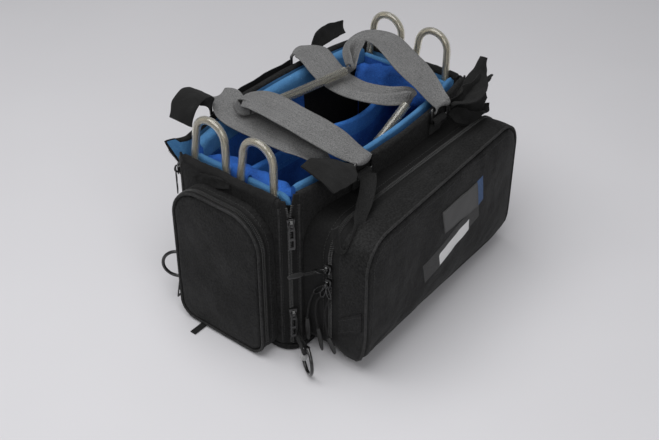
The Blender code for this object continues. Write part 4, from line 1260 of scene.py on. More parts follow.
rings = [[lid_point(*p, depth) for p in front_arch(inset, inset)] for depth, inset in FACE_ROWS]


def face_sewn(point):
    """Whether a point of the front lid's face lies outside the seam that holds it."""
    wide = (FRONT_RIGHT - FRONT_LEFT) / 2 - FACE_HELD
    middle = (FRONT_RIGHT + FRONT_LEFT) / 2
    aside = abs(point.x - middle) - wide
    high = max(aside + HELD_CORNER, 0.0), max(point.z - FRONT_TOP + FACE_HELD + HELD_CORNER, 0.0)
    low = max(aside + HELD_FOOT_CORNER, 0.0), max(FRONT_FOOT + FACE_HELD + HELD_FOOT_CORNER - point.z, 0.0)
    return math.hypot(*high) > HELD_CORNER or math.hypot(*low) > HELD_FOOT_CORNER


mesh = stuff("front_pocket_cover", ring_mesh("front_panel", rings), face_sewn, 0.0048, 4.0, 0.0035)
for amount, size, seed in ((0.0026, 0.06, 61), (0.0008, 0.017, 62)):
    crumple(mesh, amount, size, seed, lambda p: smooth_step((0.165 - abs(p.x)) / 0.02) * off_foot(p, 0.02))
front_cover = piece(mesh, nylon, "front_lid", ["front_pocket_lid"])
path = [lid_point(*p, 0.0296) for p in front_arch(0.0016, 0.0018)]
# The piping's paler nylon is a painted highlight along the cord.
piece(bar("front_pocket_piping", path, PIPING, 10, True), piping_nylon_painted_highlight, "front_lid")
print("front pocket made")

# %% [markdown]
# ## Webbing
# A strap is a band along a smooth route, with its own width and direction at each place. Where a
# handle is gathered into its tube, the band can't become narrower cloth: it pleats, so the section
# turns into a wave that keeps its length. At a ring it only cups, because the ring is nearly as wide.
# A curve with a flat bevel can do neither, so the band is lofted, section by section.

# %% Band helper
BAND_POINTS = 18


def pleat(width, full):
    """The height of a wave in the section, so that a gathered band keeps its full width of cloth."""
    if width >= full * 0.985:
        return 0.0
    return min(0.5 * full * math.sqrt(1 - (width / full) ** 2) / math.pi, 0.42 * width + 0.0012)


def band_rings(samples, full, cup=0.0):
    """Rings of a band: each sample is x, y, z, the width's direction, width, thickness and gather."""
    points = [Vector(row[:3]) for row in samples]
    rings = []
    for row, point, along in zip(samples, points, directions(points)):
        across = Vector(row[3:6])
        across = (across - across.dot(along) * along).normalized()
        through = along.cross(across)
        width, thick = row[6], row[7]
        gather = row[8] if len(row) > 8 else 0.0
        wave = pleat(width, full) * gather
        bend = cup + 0.35 * (full - width) * (1 - gather)
        top, bottom = [], []
        for k in range(BAND_POINTS):
            u = k / (BAND_POINTS - 1) * 2 - 1
            lift = wave * math.sin(u * math.pi * 1.5) + bend * (u * u - 0.4) * min(width / full, 1.0)
            slim = 0.5 * thick * (1.0 if abs(u) < 0.99 else 0.55)
            middle = point + u * width / 2 * across + lift * through
            top.append(middle + slim * through)
            bottom.append(middle - slim * through)
        rings.append(top + bottom[::-1])
    return rings


def band(name, samples, full, cup=0.0):
    return ring_mesh(name, band_rings(samples, full, cup))


print("points across a band", BAND_POINTS)

# %% Straps at the rings
WEBBING = 0.002
HANDLE_WIDTH = 0.047
RING_CLEAR = 0.029
RING_X = 0.078
RING_TOP = 0.243
RING_FOOT = RING_TOP - 0.020
RING_WIRE = 0.002
EYE = RING_WIRE + 0.0003 + WEBBING / 2
RING_Y = 0.1135
ALONG = (1, 0, 0)


def ring_eye(end, side):
    start = -60 if side > 0 else 240
    turns = arc((side * RING_Y, RING_TOP), EYE, start, 90, 10)
    return [[end * RING_X, y, z, 1, 0, 0, RING_CLEAR, WEBBING, 0.0] for y, z in turns]


def leg(rows):
    """A strap's route from ring to tube: x, y, rise above the rim, direction of the width, width."""
    last = len(rows) - 1
    return [[x, y, RIM + rise, *across, width, WEBBING, smooth_step(i / last * 1.6 - 0.6)]
            for i, (x, y, rise, across, width) in enumerate(rows)]


print("handle webbing", HANDLE_WIDTH, "wide and", WEBBING, "thick")

# %% [markdown]
# ## Carry handles
# Each handle is one grey webbing: round a ring, across the opening, gathered through a clear tube and
# on to the next ring. No rule says how a limp strap comes to lie, so its route is given row by row,
# and a smooth curve runs through the rows.

# %% Handles
GRIP = 0.006
GRIP_BORE = 0.0046
CORE = 0.0062


def make_handle(name, side, near_leg, far_leg, grip, body):
    start, stop = [Vector((x, y, RIM + rise)) for x, y, rise in grip]
    across = (stop - start).normalized().cross(UP).normalized()
    shares = (-0.06, 0.0, 0.25, 0.5, 0.75, 1.0, 1.06)
    core = [[*start.lerp(stop, share), *across, CORE, WEBBING, 1.0] for share in shares]
    near = route(ring_eye(-1, side)[-1:] + leg(near_leg) + core[:1], 9)
    far = route(core[-1:] + leg(far_leg)[::-1] + ring_eye(1, side)[-1:], 9)
    rows = ring_eye(-1, side)[:-1] + near + core[1:-1] + far + ring_eye(1, side)[::-1][1:]
    mesh = crumple(band(f"{name}_strap", rows, HANDLE_WIDTH, 0.0008), 0.0005, 0.02, 71 + side)
    piece(mesh, grey_webbing, body, [f"{name}_webbing"])
    path = [start.lerp(stop, share) - 0.0016 * math.sin(math.pi * share) * UP for share in spread(0, 1, 13)]
    mesh = pipe(f"{name}_tube", path, GRIP, GRIP_BORE)
    piece(mesh, clear_tube, body, [f"{name}_grip"])


make_handle(
    "front_handle", -1,
    [(-0.080, -RING_Y + 0.012, 0.0145, ALONG, 0.034),
     (-0.088, -RING_Y + 0.040, 0.026, ALONG, HANDLE_WIDTH),
     (-0.088, -0.020, 0.033, ALONG, HANDLE_WIDTH),
     (-0.084, 0.035, 0.034, ALONG, HANDLE_WIDTH),
     (-0.086, 0.060, 0.029, ALONG, 0.040),
     (-0.096, 0.063, 0.024, (0.9, 0.4, 0), 0.020),
     (-0.099, 0.052, 0.021, (0.3, 0.9, 0), 0.010)],
    [(0.083, -RING_Y + 0.012, 0.0145, ALONG, 0.034),
     (0.096, -RING_Y + 0.044, 0.026, (1, 0.2, 0), HANDLE_WIDTH),
     (0.114, -0.026, 0.034, (1, 0.3, 0), HANDLE_WIDTH),
     (0.124, 0.006, 0.040, (1, 0.2, 0), 0.044),
     (0.116, 0.034, 0.040, (0.8, 0.6, 0), 0.036),
     (0.094, 0.036, 0.031, (0.2, 0.9, 0.3), 0.026),
     (0.074, 0.022, 0.023, (0, 0.9, 0.4), 0.012)],
    ((-0.080, 0.042, 0.021), (0.054, 0.017, 0.021)), "front_handle")
make_handle(
    "back_handle", 1,
    [(-0.079, RING_Y - 0.014, 0.0125, ALONG, 0.038),
     (-0.098, RING_Y - 0.044, 0.010, ALONG, HANDLE_WIDTH),
     (-0.100, 0.020, 0.007, ALONG, HANDLE_WIDTH),
     (-0.098, -0.030, 0.006, ALONG, HANDLE_WIDTH),
     (-0.094, -0.062, -0.004, ALONG, 0.034),
     (-0.080, -0.074, -0.030, (1, 0, 0.6), 0.016)],
    [(0.078, RING_Y - 0.014, 0.0145, ALONG, 0.040),
     (0.066, RING_Y - 0.038, 0.018, ALONG, HANDLE_WIDTH),
     (0.050, 0.034, 0.010, ALONG, HANDLE_WIDTH),
     (0.048, -0.004, 0.006, ALONG, 0.044),
     (0.058, -0.046, 0.007, (1, 0.2, 0), 0.034),
     (0.074, -0.070, 0.008, (0.8, 0.5, 0), 0.016)],
    ((-0.058, -0.076, -0.046), (0.060, -0.076, 0.003)), "case")
print("handles made")

# %% [markdown]
# ## Strap rings and anchors
# Rectangular wire rings stand just outside the rim on webbing anchors that are sewn to the walls. A
# flattened torus would have the wrong corners, so a round bar follows a rounded rectangle.

# %% Strap rings and anchors
RING_HALF = 0.017
RING_CORNER = 0.004
ANCHOR_WIDTH = 0.025
ANCHOR_LENGTH = 0.020


def strap_ring(end, side):
    wide = RING_HALF - RING_CORNER
    outline = rounded_box(-wide, wide, RING_FOOT + RING_CORNER, RING_TOP - RING_CORNER, RING_CORNER, 6)
    return [Vector((end * RING_X + u, side * RING_Y, v)) for u, v in outline]


for place, end in ENDS:
    for wall, side in SIDES:
        name = f"{wall}_{place}"
        mesh = bar(f"{name}_ring", strap_ring(end, side), RING_WIRE, 12, True)
        piece(mesh, dark_metal, "case", [f"{name}_strap_ring"])
        foot = RING_FOOT - ANCHOR_LENGTH
        seam_z = foot + ANCHOR_LENGTH * 0.4
        seam_y = side * (wall_y(RING_X - ANCHOR_WIDTH / 2, seam_z) + 0.0003 + WEBBING / 2)
        turn = (180, -70) if side > 0 else (0, 250)
        path = [(seam_y, foot), (seam_y, foot + 0.004), (seam_y, seam_z)]
        path += arc((side * RING_Y, RING_FOOT), EYE, *turn, 16)
        rows = [[end * RING_X, y, z, 1, 0, 0, ANCHOR_WIDTH, WEBBING] for y, z in path]
        mesh = band(f"{name}_anchor", rows, ANCHOR_WIDTH)
        piece(mesh, black_webbing, "case", [f"{name}_ring_anchor"])
print("rings made")

# %% [markdown]
# ## Hook-tape ends
# Beside each strap ring lies the worn end of a strap, faced with hook tape, and the front far one is a
# bundle of several folds. They are bands again, given row by row, and a strong small noise frays them.

# %% Tabs
RING_EDGE = RING_X + RING_HALF + RING_WIRE + 0.0004
TAB = 0.044
TAB_THICK = 0.0025
TAB_LEAN = 0.0014
ACROSS = (0, 1, 0)


def make_tab(name, end, side, rows, seed, rough, nodes=()):
    """A band of hook tape, whose rows are measured from the outer edge of a strap ring."""
    rows = [(end * RING_EDGE + x, side * RING_Y + y, *rest) for x, y, *rest in rows]
    samples = [row[:7] + [TAB_THICK] for row in route(leg(rows), 10)]
    mesh = crumple(band(name, samples, max(row[4] for row in rows), 0.001), rough, 0.012, seed)
    piece(mesh, hook_tape, "case", nodes)


make_tab("front_near_tab", -1, -1, [
    (0, 0, 0.006, (0, 1, 0.1), 0.026),
    (-0.012, 0.004, 0.010, (0, 1, 0.15), TAB * 1.1),
    (-0.034, 0.008, 0.014, (0, 1, 0.2), TAB * 1.3),
    (-0.052, 0.010, 0.014, (0, 1, 0.2), TAB * 1.25)], 81, 0.0014, ["front_near_hook_tab"])
make_tab("front_far_tab", 1, -1, [
    (TAB_LEAN / 2, 0, -0.002, (0, 0, 1), 0.014),
    (0.006, 0, -0.002, (0, 0, 1), 0.020),
    (0.018, -0.009, -0.006, (0, 0.3, 1), 0.048),
    (0.040, -0.013, -0.006, (0, 0.2, 1), 0.050),
    (0.066, -0.010, 0.002, (0, 0.2, 1), 0.044)], 82, 0.0026, ["front_far_hook_tab"])
make_tab("front_far_fold", 1, -1, [
    (0.004, -0.003, -0.004, (0.2, -0.6, 0.6), 0.022),
    (0.020, -0.014, 0.002, (0.3, -0.8, 0.5), 0.042),
    (0.044, -0.010, 0.010, (0.5, -0.7, 0.3), 0.036),
    (0.070, -0.002, 0.022, (0.7, -0.5, 0.1), 0.016),
    (0.080, 0, 0.034, (0.7, -0.5, 0.1), 0.010)], 85, 0.0024)
make_tab("front_far_strip", 1, -1, [
    (0.006, -0.004, -0.008, (0, -0.3, 1), 0.016),
    (0.022, -0.018, -0.026, (0.3, -0.5, 0.8), 0.036),
    (0.048, -0.019, -0.036, (0.4, -0.4, 0.8), 0.032),
    (0.072, -0.014, -0.026, (0.5, -0.3, 0.8), 0.014)], 86, 0.0024)
make_tab("front_far_end", 1, -1, [
    (0.030, -0.010, -0.008, (0, -0.5, 0.9), 0.036),
    (0.060, -0.008, -0.006, (0.1, -0.5, 0.9), 0.040),
    (0.090, 0.002, -0.008, (0.2, -0.5, 0.9), 0.030)], 88, 0.0026)
make_tab("back_near_tab", -1, 1, [
    (-TAB_LEAN, 0.004, 0.002, ACROSS, 0.016),
    (-0.010, 0, 0.026, ACROSS, 0.036),
    (-0.030, -0.006, 0.037, ACROSS, 0.038),
    (-0.050, -0.008, 0.031, ACROSS, 0.038),
    (-0.058, -0.008, 0.011, ACROSS, 0.038)], 83, 0.0010, ["back_near_hook_tab"])
make_tab("back_far_tab", 1, 1, [
    (TAB_LEAN, 0, -0.002, (0, 0, 1), 0.014),
    (0.006, 0, -0.002, (0, 0, 1), 0.018),
    (0.022, 0.003, 0.004, (0, 0.3, 1), 0.022),
    (0.045, 0.006, 0.006, (0, 0.4, 1), 0.024),
    (0.086, 0.008, 0.000, (0, 0.4, 1), 0.018)], 84, 0.0012, ["back_far_hook_tab"])
print("hook-tape ends made")

# %% [markdown]
# ## The loose tail
# A thin strap hangs from the front near ring and turns up at its end. A simulated strap would hang
# straight down, so its rows are chosen one by one, and the direction of its width turns on the way.

# %% Tail of the front near ring
TAIL_WIDE = 0.016
TAIL_THICK = 0.0018
TAIL_ACROSS = (0.53, -0.78, -0.18)
TAIL_EDGE = (0.80, -0.10, -0.55)
tail = [(-0.074, -0.1180, -0.011, (1, -0.3, 0), 0.020), (-0.088, -0.1290, -0.016, (0.8, -0.6, 0), 0.019),
        (-0.106, -0.1390, -0.0215, TAIL_ACROSS, 0.018), (-0.124, -0.1470, -0.028, TAIL_ACROSS, 0.016),
        (-0.140, -0.1530, -0.037, TAIL_EDGE, 0.014), (-0.1545, -0.1560, -0.0505, TAIL_EDGE, 0.012),
        (-0.1625, -0.1540, -0.0560, TAIL_EDGE, 0.011), (-0.1690, -0.1500, -0.0500, TAIL_EDGE, 0.011),
        (-0.1700, -0.1480, -0.0370, TAIL_EDGE, 0.011), (-0.1690, -0.1460, -0.0230, TAIL_EDGE, 0.011)]
mesh = band("front_near_tail", [row[:7] + [TAIL_THICK] for row in route(leg(tail), 8)], TAIL_WIDE, 0.001)
crumple(mesh, 0.0007, 0.015, 87)
piece(mesh, black_webbing, "case")
print("tail made")

# %% [markdown]
# ## Corner rings
# Wire D-rings hang low on the corners in sewn webbing loops, and the two near ones wear a pale ribbed
# sleeve on their straight bar. A frame at each corner says which way is out, so one outline and one
# loop serve all four. The near front ring droops, because its loop is long.

# %% D-rings, loops and sleeves
D_WIRE = 0.00225
D_HALF = 0.020
D_REACH = 0.028
D_BEND = 0.006
D_ANGLE = math.radians(57)
D_STRAP = 0.014
D_WEB = 0.0016
D_ROOT = 0.0022
D_EYE = D_WIRE + 0.0004 + 0.0009
NEAR_NARROW = 0.8
NEAR_LIFT = 0.006
SLEEVE_RIBS = 44


def corner_frame(end, side, stand, height, droop):
    """A frame at a corner: x points out and down by the droop, z is the ring's straight bar."""
    out = Vector((end * math.cos(D_ANGLE), side * math.sin(D_ANGLE), 0))
    tilt = math.radians(droop)
    reach = math.cos(tilt) * out - math.sin(tilt) * UP
    upright = math.sin(tilt) * out + math.cos(tilt) * UP
    matrix = Matrix((reach, upright.cross(reach), upright)).transposed().to_4x4()
    matrix.translation = Vector((end * STRAIGHT, side * FLAT, height)) + (CORNER + stand) * out
    return matrix


d_outline = [(0.0, z) for z in spread(D_BEND - D_HALF, D_HALF - D_BEND, 7)]
d_outline += arc((D_BEND, D_HALF - D_BEND), D_BEND, 160, 100, 4)
d_outline += arc((D_REACH - D_HALF, 0), D_HALF, 86, -86, 24)
d_outline += arc((D_BEND, D_BEND - D_HALF), D_BEND, 260, 200, 4)
for place, end, side, stand, height, seam, droop in (
    ("near_front", -1, -1, 0.034, 0.0262, 0.0185, 24), ("near_back", -1, 1, 0.0075, 0.045, 0.045, 0),
    ("far_front", 1, -1, 0.0075, 0.045, 0.045, 0), ("far_back", 1, 1, 0.0075, 0.045, 0.045, 0),
):
    matrix = corner_frame(end, side, stand, height, droop)
    points = [matrix @ Vector((x, 0, z)) for x, z in d_outline]
    mesh = bar(f"{place}_wire_ring", points, D_WIRE, 14, True)
    piece(mesh, dark_metal, f"{place}_ring", [f"{place}_d_ring"])
    tilt = math.radians(droop)
    inward = stand + D_ROOT
    root = (seam - height) * math.sin(tilt) + inward * math.cos(tilt)
    slant = (inward * math.sin(tilt) - (seam - height) * math.cos(tilt)) / root
    turn = arc((0, 0), D_EYE, 100, -100, 14)
    path = [(-root, 0.0013), (-0.6 * root, 0.0014)] + turn + [(-0.6 * root, -0.0014), (-root, -0.0013)]
    lift, width = (NEAR_LIFT, D_STRAP * NEAR_NARROW) if end < 0 else (0.0, D_STRAP)
    upright = matrix.to_3x3() @ UP
    rows = []
    for x, y in path:
        rows.append([*(matrix @ Vector((x, y, x * slant + lift))), *upright, width, D_WEB])
    piece(band(f"{place}_ring_loop", rows, D_STRAP), black_webbing, "case")
    if end < 0:
        sleeve = [matrix @ Vector((0, 0, z)) for z in spread(-0.0155, -0.0015, 36)]
        mesh = bar(f"{place}_ring_sleeve", sleeve, lambda t: 0.0042 + 0.0004 * math.sin(t * SLEEVE_RIBS), 14)
        piece(mesh, pale_rubber, f"{place}_ring")
print("corner rings made")

# %% [markdown]
# ## Zips
# Every zip is two rows of coil teeth on two tapes. One Array modifier could make a closed zip, but a
# zip comes apart: each row rides on the part that its tape is sewn to, so when a panel folds down, half
# of the zip goes with it. The rows of a closed zip interleave.

# %% Zip teeth
TOOTH_LIFT = 0.0002
TEETH_SPREAD = 2.7


def corner_row(end, side, from_wall, angle, top, lift=TOOTH_LIFT):
    """A path up a corner at an angle from its zip, on the wall's side or the panel's."""
    rows = []
    for z in spread(FOOT + 0.004, top, 44):
        point, out = corner_place(end, side, 45 + (angle if from_wall else -angle), z, from_wall)
        rows.append((point + (lift - TAPE_SINK) * out, out))
    return rows


corners = [(end, side) for end in (-1, 1) for side in (-1, 1)]
case_rows = [corner_row(end, side, True, TEETH_SPREAD, RIM - 0.012) for end, side in corners]
case_rows.append(front_row(ZIP_Y + 0.0014, 0.0))
count = teeth("case_zip_teeth", case_rows, "case", 0.0)
for name, end in ENDS:
    rows = [corner_row(end, side, False, TEETH_SPREAD, END_TOP - 0.008) for side in (-1, 1)]
    rows.append(end_row(end, TRAY_FRONT - 0.0014, 0.0))
    count += teeth(f"{name}_end_zip_teeth", rows, f"{name}_end", 0.5)
    count += teeth(f"{name}_lid_zip_teeth", [end_row(end, LID_BACK + 0.0014, 0.0)], f"{name}_lid", 0.0)
count += teeth("front_lid_zip_teeth", [front_row(ZIP_Y - 0.0016, 0.0)], "front_lid", 0.5)
print("zip teeth", count)

# %% [markdown]
# ## Stitching
# Tapes, bindings and pads are sewn down by rows of thread. A bump could draw them, but it would vanish
# on a skin's edge. A stitch is a flat bead that sinks a little into the cloth, so only its back shows.

# %% Stitches
def wall_row(side, z, lift):
    """A path along a long wall at a height."""
    xs = spread(-STRAIGHT, STRAIGHT, 41)
    return [(Vector((x, side * (wall_y(x, z) + lift), z)), Vector((0, side, 0))) for x in xs]


def pad_row(side, roll):
    """The sewn neck under a side pad's rolled top."""
    z = RIM - ROLL_DROP + 0.0025
    rows = []
    for x in spread(-STRAIGHT + 0.004, STRAIGHT - 0.004, 41):
        inner = wall_y(x, z) - WALL - SLOT - roll
        rows.append((Vector((x, side * (inner - 0.0002), z)), Vector((0, -side, 0))))
    return rows


def divider_row(face):
    z = DIVIDER_TOP - 0.019
    half = DIVIDER / 2 + 0.0003
    xs = spread(-reach + 0.004, reach - 0.004, 41)
    return [(Vector((x, divider_y(x) + face * half, z)), Vector((0, face, 0))) for x in xs]


TAPE_EDGE = 19.5
rows = [corner_row(end, side, True, TAPE_EDGE, RIM - 0.012, 0.0001) for end, side in corners]
rows += [wall_row(side, FOOT + 0.006, 0.0002) for side in (-1, 1)]
rows += [front_row(ZIP_Y + 0.0095, 0.0004)]
count = stitches("case_stitches", rows, "case")
for name, end in ENDS:
    rows = [corner_row(end, side, False, TAPE_EDGE, END_TOP - 0.008, 0.0001) for side in (-1, 1)]
    rows.append(end_row(end, TRAY_FRONT - 0.0095, 0.0003))
    count += stitches(f"{name}_end_stitches", rows, f"{name}_end")
rows = [divider_row(-1), divider_row(1), pad_row(-1, PAD), pad_row(1, BACK_ROLL)]
count += stitches("lining_stitches", rows, "case", blue_thread)
print("stitches", count)

# %% [markdown]
# ## Edge piping
# A thin covered cord is sewn along each corner tape and round the base, and hides the step between tape
# and panel. It follows the same paths as the stitches, so it is swept along them.

# %% Piping
PIPING_ANGLE = 24.0
THIN_PIPING = 0.0014


def corner_piping(name, end, side, from_wall, top, body):
    path = [place for place, _ in corner_row(end, side, from_wall, PIPING_ANGLE, top, TAPE_SINK)]
    # The piping's paler nylon is a painted highlight along the cord.
    piece(bar(name, path, THIN_PIPING, 8), piping_nylon_painted_highlight, body)


for wall, side in SIDES:
    for name, end in ENDS:
        corner_piping(f"{name}_{wall}_corner_piping", end, side, True, RIM - 0.014, "case")
for name, end in ENDS:
    for wall, side in SIDES:
        corner_piping(f"{name}_{wall}_panel_piping", end, side, False, END_TOP - 0.010, f"{name}_end")
path = [(x, y, BASE - 0.0012) for x, y in base_outline(0.0008)]
piece(bar("base_piping", path, 0.0015, 8, True), nylon, "case")
print("piping made")

# %% [markdown]
# ## Sliders and pulls
# A slider is two plates joined in the middle, with a bridge on top that the pull hangs from. The flat
# pulls are stamped plates with two windows and a slot for the bridge. Booleans would leave ragged
# faces on such small parts, so a slider is a stack of outlines and a pull is a grid without some cells.

# %% Slider
SLIDER_OUTLINE = [(-0.0068, 0.0026), (-0.0058, 0.0037), (-0.001, 0.0041), (0.0032, 0.0050),
                  (0.0056, 0.0049), (0.0068, 0.0036)]
SLIDER_LEVELS = [(0.0002, 0.0006), (0.0008, 0.0), (0.0016, 0.0), (0.0019, 0.0012), (0.0024, 0.0012),
                 (0.0027, 0.0), (0.0035, 0.0), (0.0041, 0.0007)]
SLIDER_SHARP = math.radians(35)
BRIDGE = 0.0034
BRIDGE_WIDE = 0.0032
BRIDGE_THICK = 0.0011
PIN_HEIGHT = 0.0062


def hung(place, out, along):
    """A frame at a place: x runs across, y along the zip and z out of it."""
    out, along = Vector(out).normalized(), Vector(along).normalized()
    matrix = Matrix((along.cross(out), along, out)).transposed().to_4x4()
    matrix.translation = Vector(place)
    return matrix


def joined(name, meshes):
    """Several meshes as one."""
    shape = bmesh.new()
    for mesh in meshes:
        shape.from_mesh(mesh)
        bpy.data.meshes.remove(mesh)
    return settled(name, shape)


def slider_mesh(name, frame_at, size=1.0):
    rings = []
    for height, inset in SLIDER_LEVELS:
        right = [(half - inset, along - math.copysign(inset, along)) for along, half in SLIDER_OUTLINE]
        left = [(-across, along) for across, along in right[::-1]]
        rings.append([frame_at @ Vector((u * size, v * size, height)) for u, v in right + left])
    top = SLIDER_LEVELS[-1][0]
    path = [(-0.0048, top - 0.001), (-0.0042, top + 0.0013), (-0.002, top + BRIDGE),
            (0.0016, top + BRIDGE), (0.004, top + 0.0016), (0.0048, top - 0.001)]
    across = frame_at.to_3x3() @ Vector((1, 0, 0))
    rows = [[*(frame_at @ Vector((0, v * size, h))), *across, BRIDGE_WIDE * size, BRIDGE_THICK]
            for v, h in path]
    return joined(name, [ring_mesh("plates", rings), band("bridge", route(rows, 4), BRIDGE_WIDE)])


print("slider levels", len(SLIDER_LEVELS))

# %% Plate pull
PIN_DROP = 0.003
PLATE_EDGE = 0.0003
PLATE_SHARP = math.radians(30)


def windowed_plate(name, frame_at, length, wide, thick):
    """A stamped plate that hangs from the frame's origin: a slot, two windows and a small bevel."""
    us = [-0.5, -0.24, 0.24, 0.5]
    vs = [0.0, 0.09, 0.20, 0.30, 0.56, 0.66, 0.90, 1.0]
    windows = {(1, 1), (1, 3), (1, 5)}
    shape = bmesh.new()
    corners = {}

    def corner(i, j, side):
        if (i, j, side) not in corners:
            narrow = 0.62 + 0.38 * smooth_step(vs[j] / 0.3) - 0.12 * smooth_step((vs[j] - 0.9) / 0.1)
            spot = Vector((us[i] * wide * narrow, -vs[j] * length + PIN_DROP, side * thick / 2))
            corners[i, j, side] = shape.verts.new(frame_at @ spot)
        return corners[i, j, side]

    solid = {(i, j) for i in range(3) for j in range(7)} - windows
    for i, j in solid:
        spots = [(i, j), (i + 1, j), (i + 1, j + 1), (i, j + 1)]
        shape.faces.new([corner(*spot, 1) for spot in spots])
        shape.faces.new([corner(*spot, -1) for spot in spots[::-1]])
        beyond = ((i, j - 1), (i + 1, j), (i, j + 1), (i - 1, j))
        for a, b, other in zip(spots, spots[1:] + spots[:1], beyond):
            if other not in solid:
                shape.faces.new([corner(*a, -1), corner(*b, -1), corner(*b, 1), corner(*a, 1)])
    bmesh.ops.recalc_face_normals(shape, faces=shape.faces)
    sharp = [edge for edge in shape.edges if edge.calc_face_angle(0.0) > 0.5]
    bmesh.ops.bevel(shape, geom=sharp, offset=PLATE_EDGE, segments=2, affect="EDGES", profile=0.5)
    return settled(name, shape)


print("plate pull ready")

# %% [markdown]
# ## Sliders with flat pulls
# Five corner sliders and two pocket sliders have stamped pulls. Each is set by a frame on its zip, so
# one slider and one pull serve all seven, and each pull rides on its own body so that it can lift.

# %% Flat pulls
PULL_LENGTH = 0.038
PULL_WIDTH = 0.0082
PULL_THICK = 0.0014
ZIP_ANGLE = 48.5
SLIDER_LOW = 0.064
POCKET_SLIDER = 0.050


def flat_pull(name, place, out, size=1.0, lift=0.0):
    """A slider on its zip, and its plate pull lifted off the cloth by some degrees."""
    matrix = hung(place, out, UP)
    mesh = slider_mesh(f"{name}_slider_body", matrix, size)
    piece(mesh, dark_metal, f"{name}_zip", [f"{name}_slider"], SLIDER_SHARP)
    pin = matrix @ Matrix.Translation((0, 0, PIN_HEIGHT)) @ Matrix.Rotation(math.radians(-lift), 4, "X")
    mesh = windowed_plate(f"{name}_plate_pull", pin, PULL_LENGTH, PULL_WIDTH * size, PULL_THICK)
    piece(mesh, dark_metal, f"{name}_tag", [f"{name}_pull"], PLATE_SHARP)


for name, end, side, height in (
    ("near_front_top", -1, -1, SLIDER_TOP), ("near_front_low", -1, -1, SLIDER_LOW),
    ("near_back_top", -1, 1, SLIDER_TOP), ("far_front_top", 1, -1, SLIDER_TOP),
    ("far_back_top", 1, 1, SLIDER_TOP),
):
    place, out = corner_place(end, side, ZIP_ANGLE, height, True)
    flat_pull(name, place - 0.0006 * out, out)
for name, end in ENDS:
    place = (end * (TRAY_FRONT - 0.0018), POCKET_HALF - 0.0003, POCKET_SLIDER)
    flat_pull(f"{name}_pocket", place, (0, 1, 0), 0.9, 12.0)
print("flat pulls made")

# %% [markdown]
# ## The front pocket's cord pull
# This pull is a wire bail, two strands of cord and a moulded grip. The grip could be a scaled sphere,
# but a loft whose width swells on the way gives the leaf shape and the rib along its middle.

# %% Bail and grip
def bail(start, way, side, length, wide, narrow=0.35):
    """A teardrop wire that hangs from a slider: narrow at the pin and round at its end."""
    points = []
    for k in range(24):
        turn = 2 * math.pi * k / 24
        reach = 0.5 - 0.5 * math.cos(turn)
        half = wide / 2 * math.sin(turn) * (narrow + (1 - narrow) * reach)
        points.append(start + length * reach * way + half * side)
    return points


def grip_mesh(name, start, way, side, length, wide, thick):
    """A moulded leaf-shaped grip with a rib along its middle."""
    through = way.cross(side)
    rings = []
    for share in spread(0, 1, 15):
        swell = 0.55 + 0.45 * math.sin(math.pi * min(share * 0.9 + 0.12, 1.0)) if share < 0.97 else 0.3
        point = start + length * share * way
        ring = []
        for k in range(16):
            turn = 2 * math.pi * k / 16
            rib = 1.0 + 0.35 * max(math.cos(turn * 2 + math.pi), 0.0) ** 3
            aside = wide / 2 * math.cos(turn) * side
            ring.append(point + swell * (aside + thick / 2 * rib * math.sin(turn) * through))
        rings.append(ring)
    return ring_mesh(name, rings)


print("bail and grip helpers ready")

# %% Cord pull
FRONT_PIN = Vector((-0.1722, -0.1306, 0.146))
PULL_WAY = Vector((-0.906, 0.0, 0.4226))
BAIL_WIRE = 0.0008
STRAND = 0.0009
STRAND_LENGTH = 0.028
STRANDS_APART = 0.0011
GRIP_LENGTH = 0.0262
GRIP_WIDE = 0.0068
GRIP_THICK = 0.0044
matrix = hung((FRONT_LEFT + 0.0002, ZIP_Y + 0.0012, FRONT_PIN.z), (-1, 0, 0), UP)
mesh = slider_mesh("front_pocket_slider_body", matrix)
piece(mesh, dark_metal, "front_pocket_zip", ["front_pocket_slider"], SLIDER_SHARP)
across = Vector((0, 1, 0))
side = across.cross(PULL_WAY).normalized()
bail_end = FRONT_PIN + 0.0165 * PULL_WAY
wire = bail(FRONT_PIN - 0.001 * PULL_WAY, PULL_WAY, across, 0.0175, 0.0105, 0.85)
mesh = bar("front_pocket_bail", wire, BAIL_WIRE, 8, True)
piece(mesh, dark_metal, "front_pocket_tag")
meshes = []
for shift in (-1, 1):
    strand = []
    for t in spread(0, 1, 9):
        slack = math.sin(math.pi * t)
        aside = across * shift * (STRANDS_APART + 0.0005 * slack)
        strand.append(bail_end + PULL_WAY * t * STRAND_LENGTH + aside - UP * 0.0008 * slack)
    meshes.append(bar("strand", strand, STRAND, 8))
turn = [bail_end + (across * math.cos(a) * STRANDS_APART - PULL_WAY * math.sin(a) * 0.0016)
        for a in spread(0, math.pi, 8)]
meshes.append(bar("turn", turn, STRAND, 8))
piece(joined("front_pocket_strands", meshes), black_webbing, "front_pocket_tag")
start = bail_end + PULL_WAY * GRIP_LENGTH
mesh = grip_mesh("front_pocket_grip", start, PULL_WAY, side, GRIP_LENGTH, GRIP_WIDE, GRIP_THICK)
piece(mesh, rubber, "front_pocket_tag", ["front_pocket_pull"])
print("cord pull made")

# %% [markdown]
# ## Hanging pulls
# A second slider below carries three limp cords with grips. Simulated cords would hang free, and these
# lie against the cloth, so their points are given one by one.

# %% Lower slider and its pulls
LOW_SLIDER = Vector((FRONT_LEFT + 0.0002, ZIP_Y + 0.0004, 0.126))
HANG_X = FRONT_LEFT - 0.0026
CORD = 0.0021
BAIL_WIDE = 0.0082
matrix = hung(LOW_SLIDER, (-1, 0, 0), UP)
mesh = slider_mesh("front_pocket_lower_slider", matrix, 0.9)
piece(mesh, dark_metal, "front_pocket_zip", (), SLIDER_SHARP)
pin = LOW_SLIDER + Vector((-PIN_HEIGHT, 0, 0))


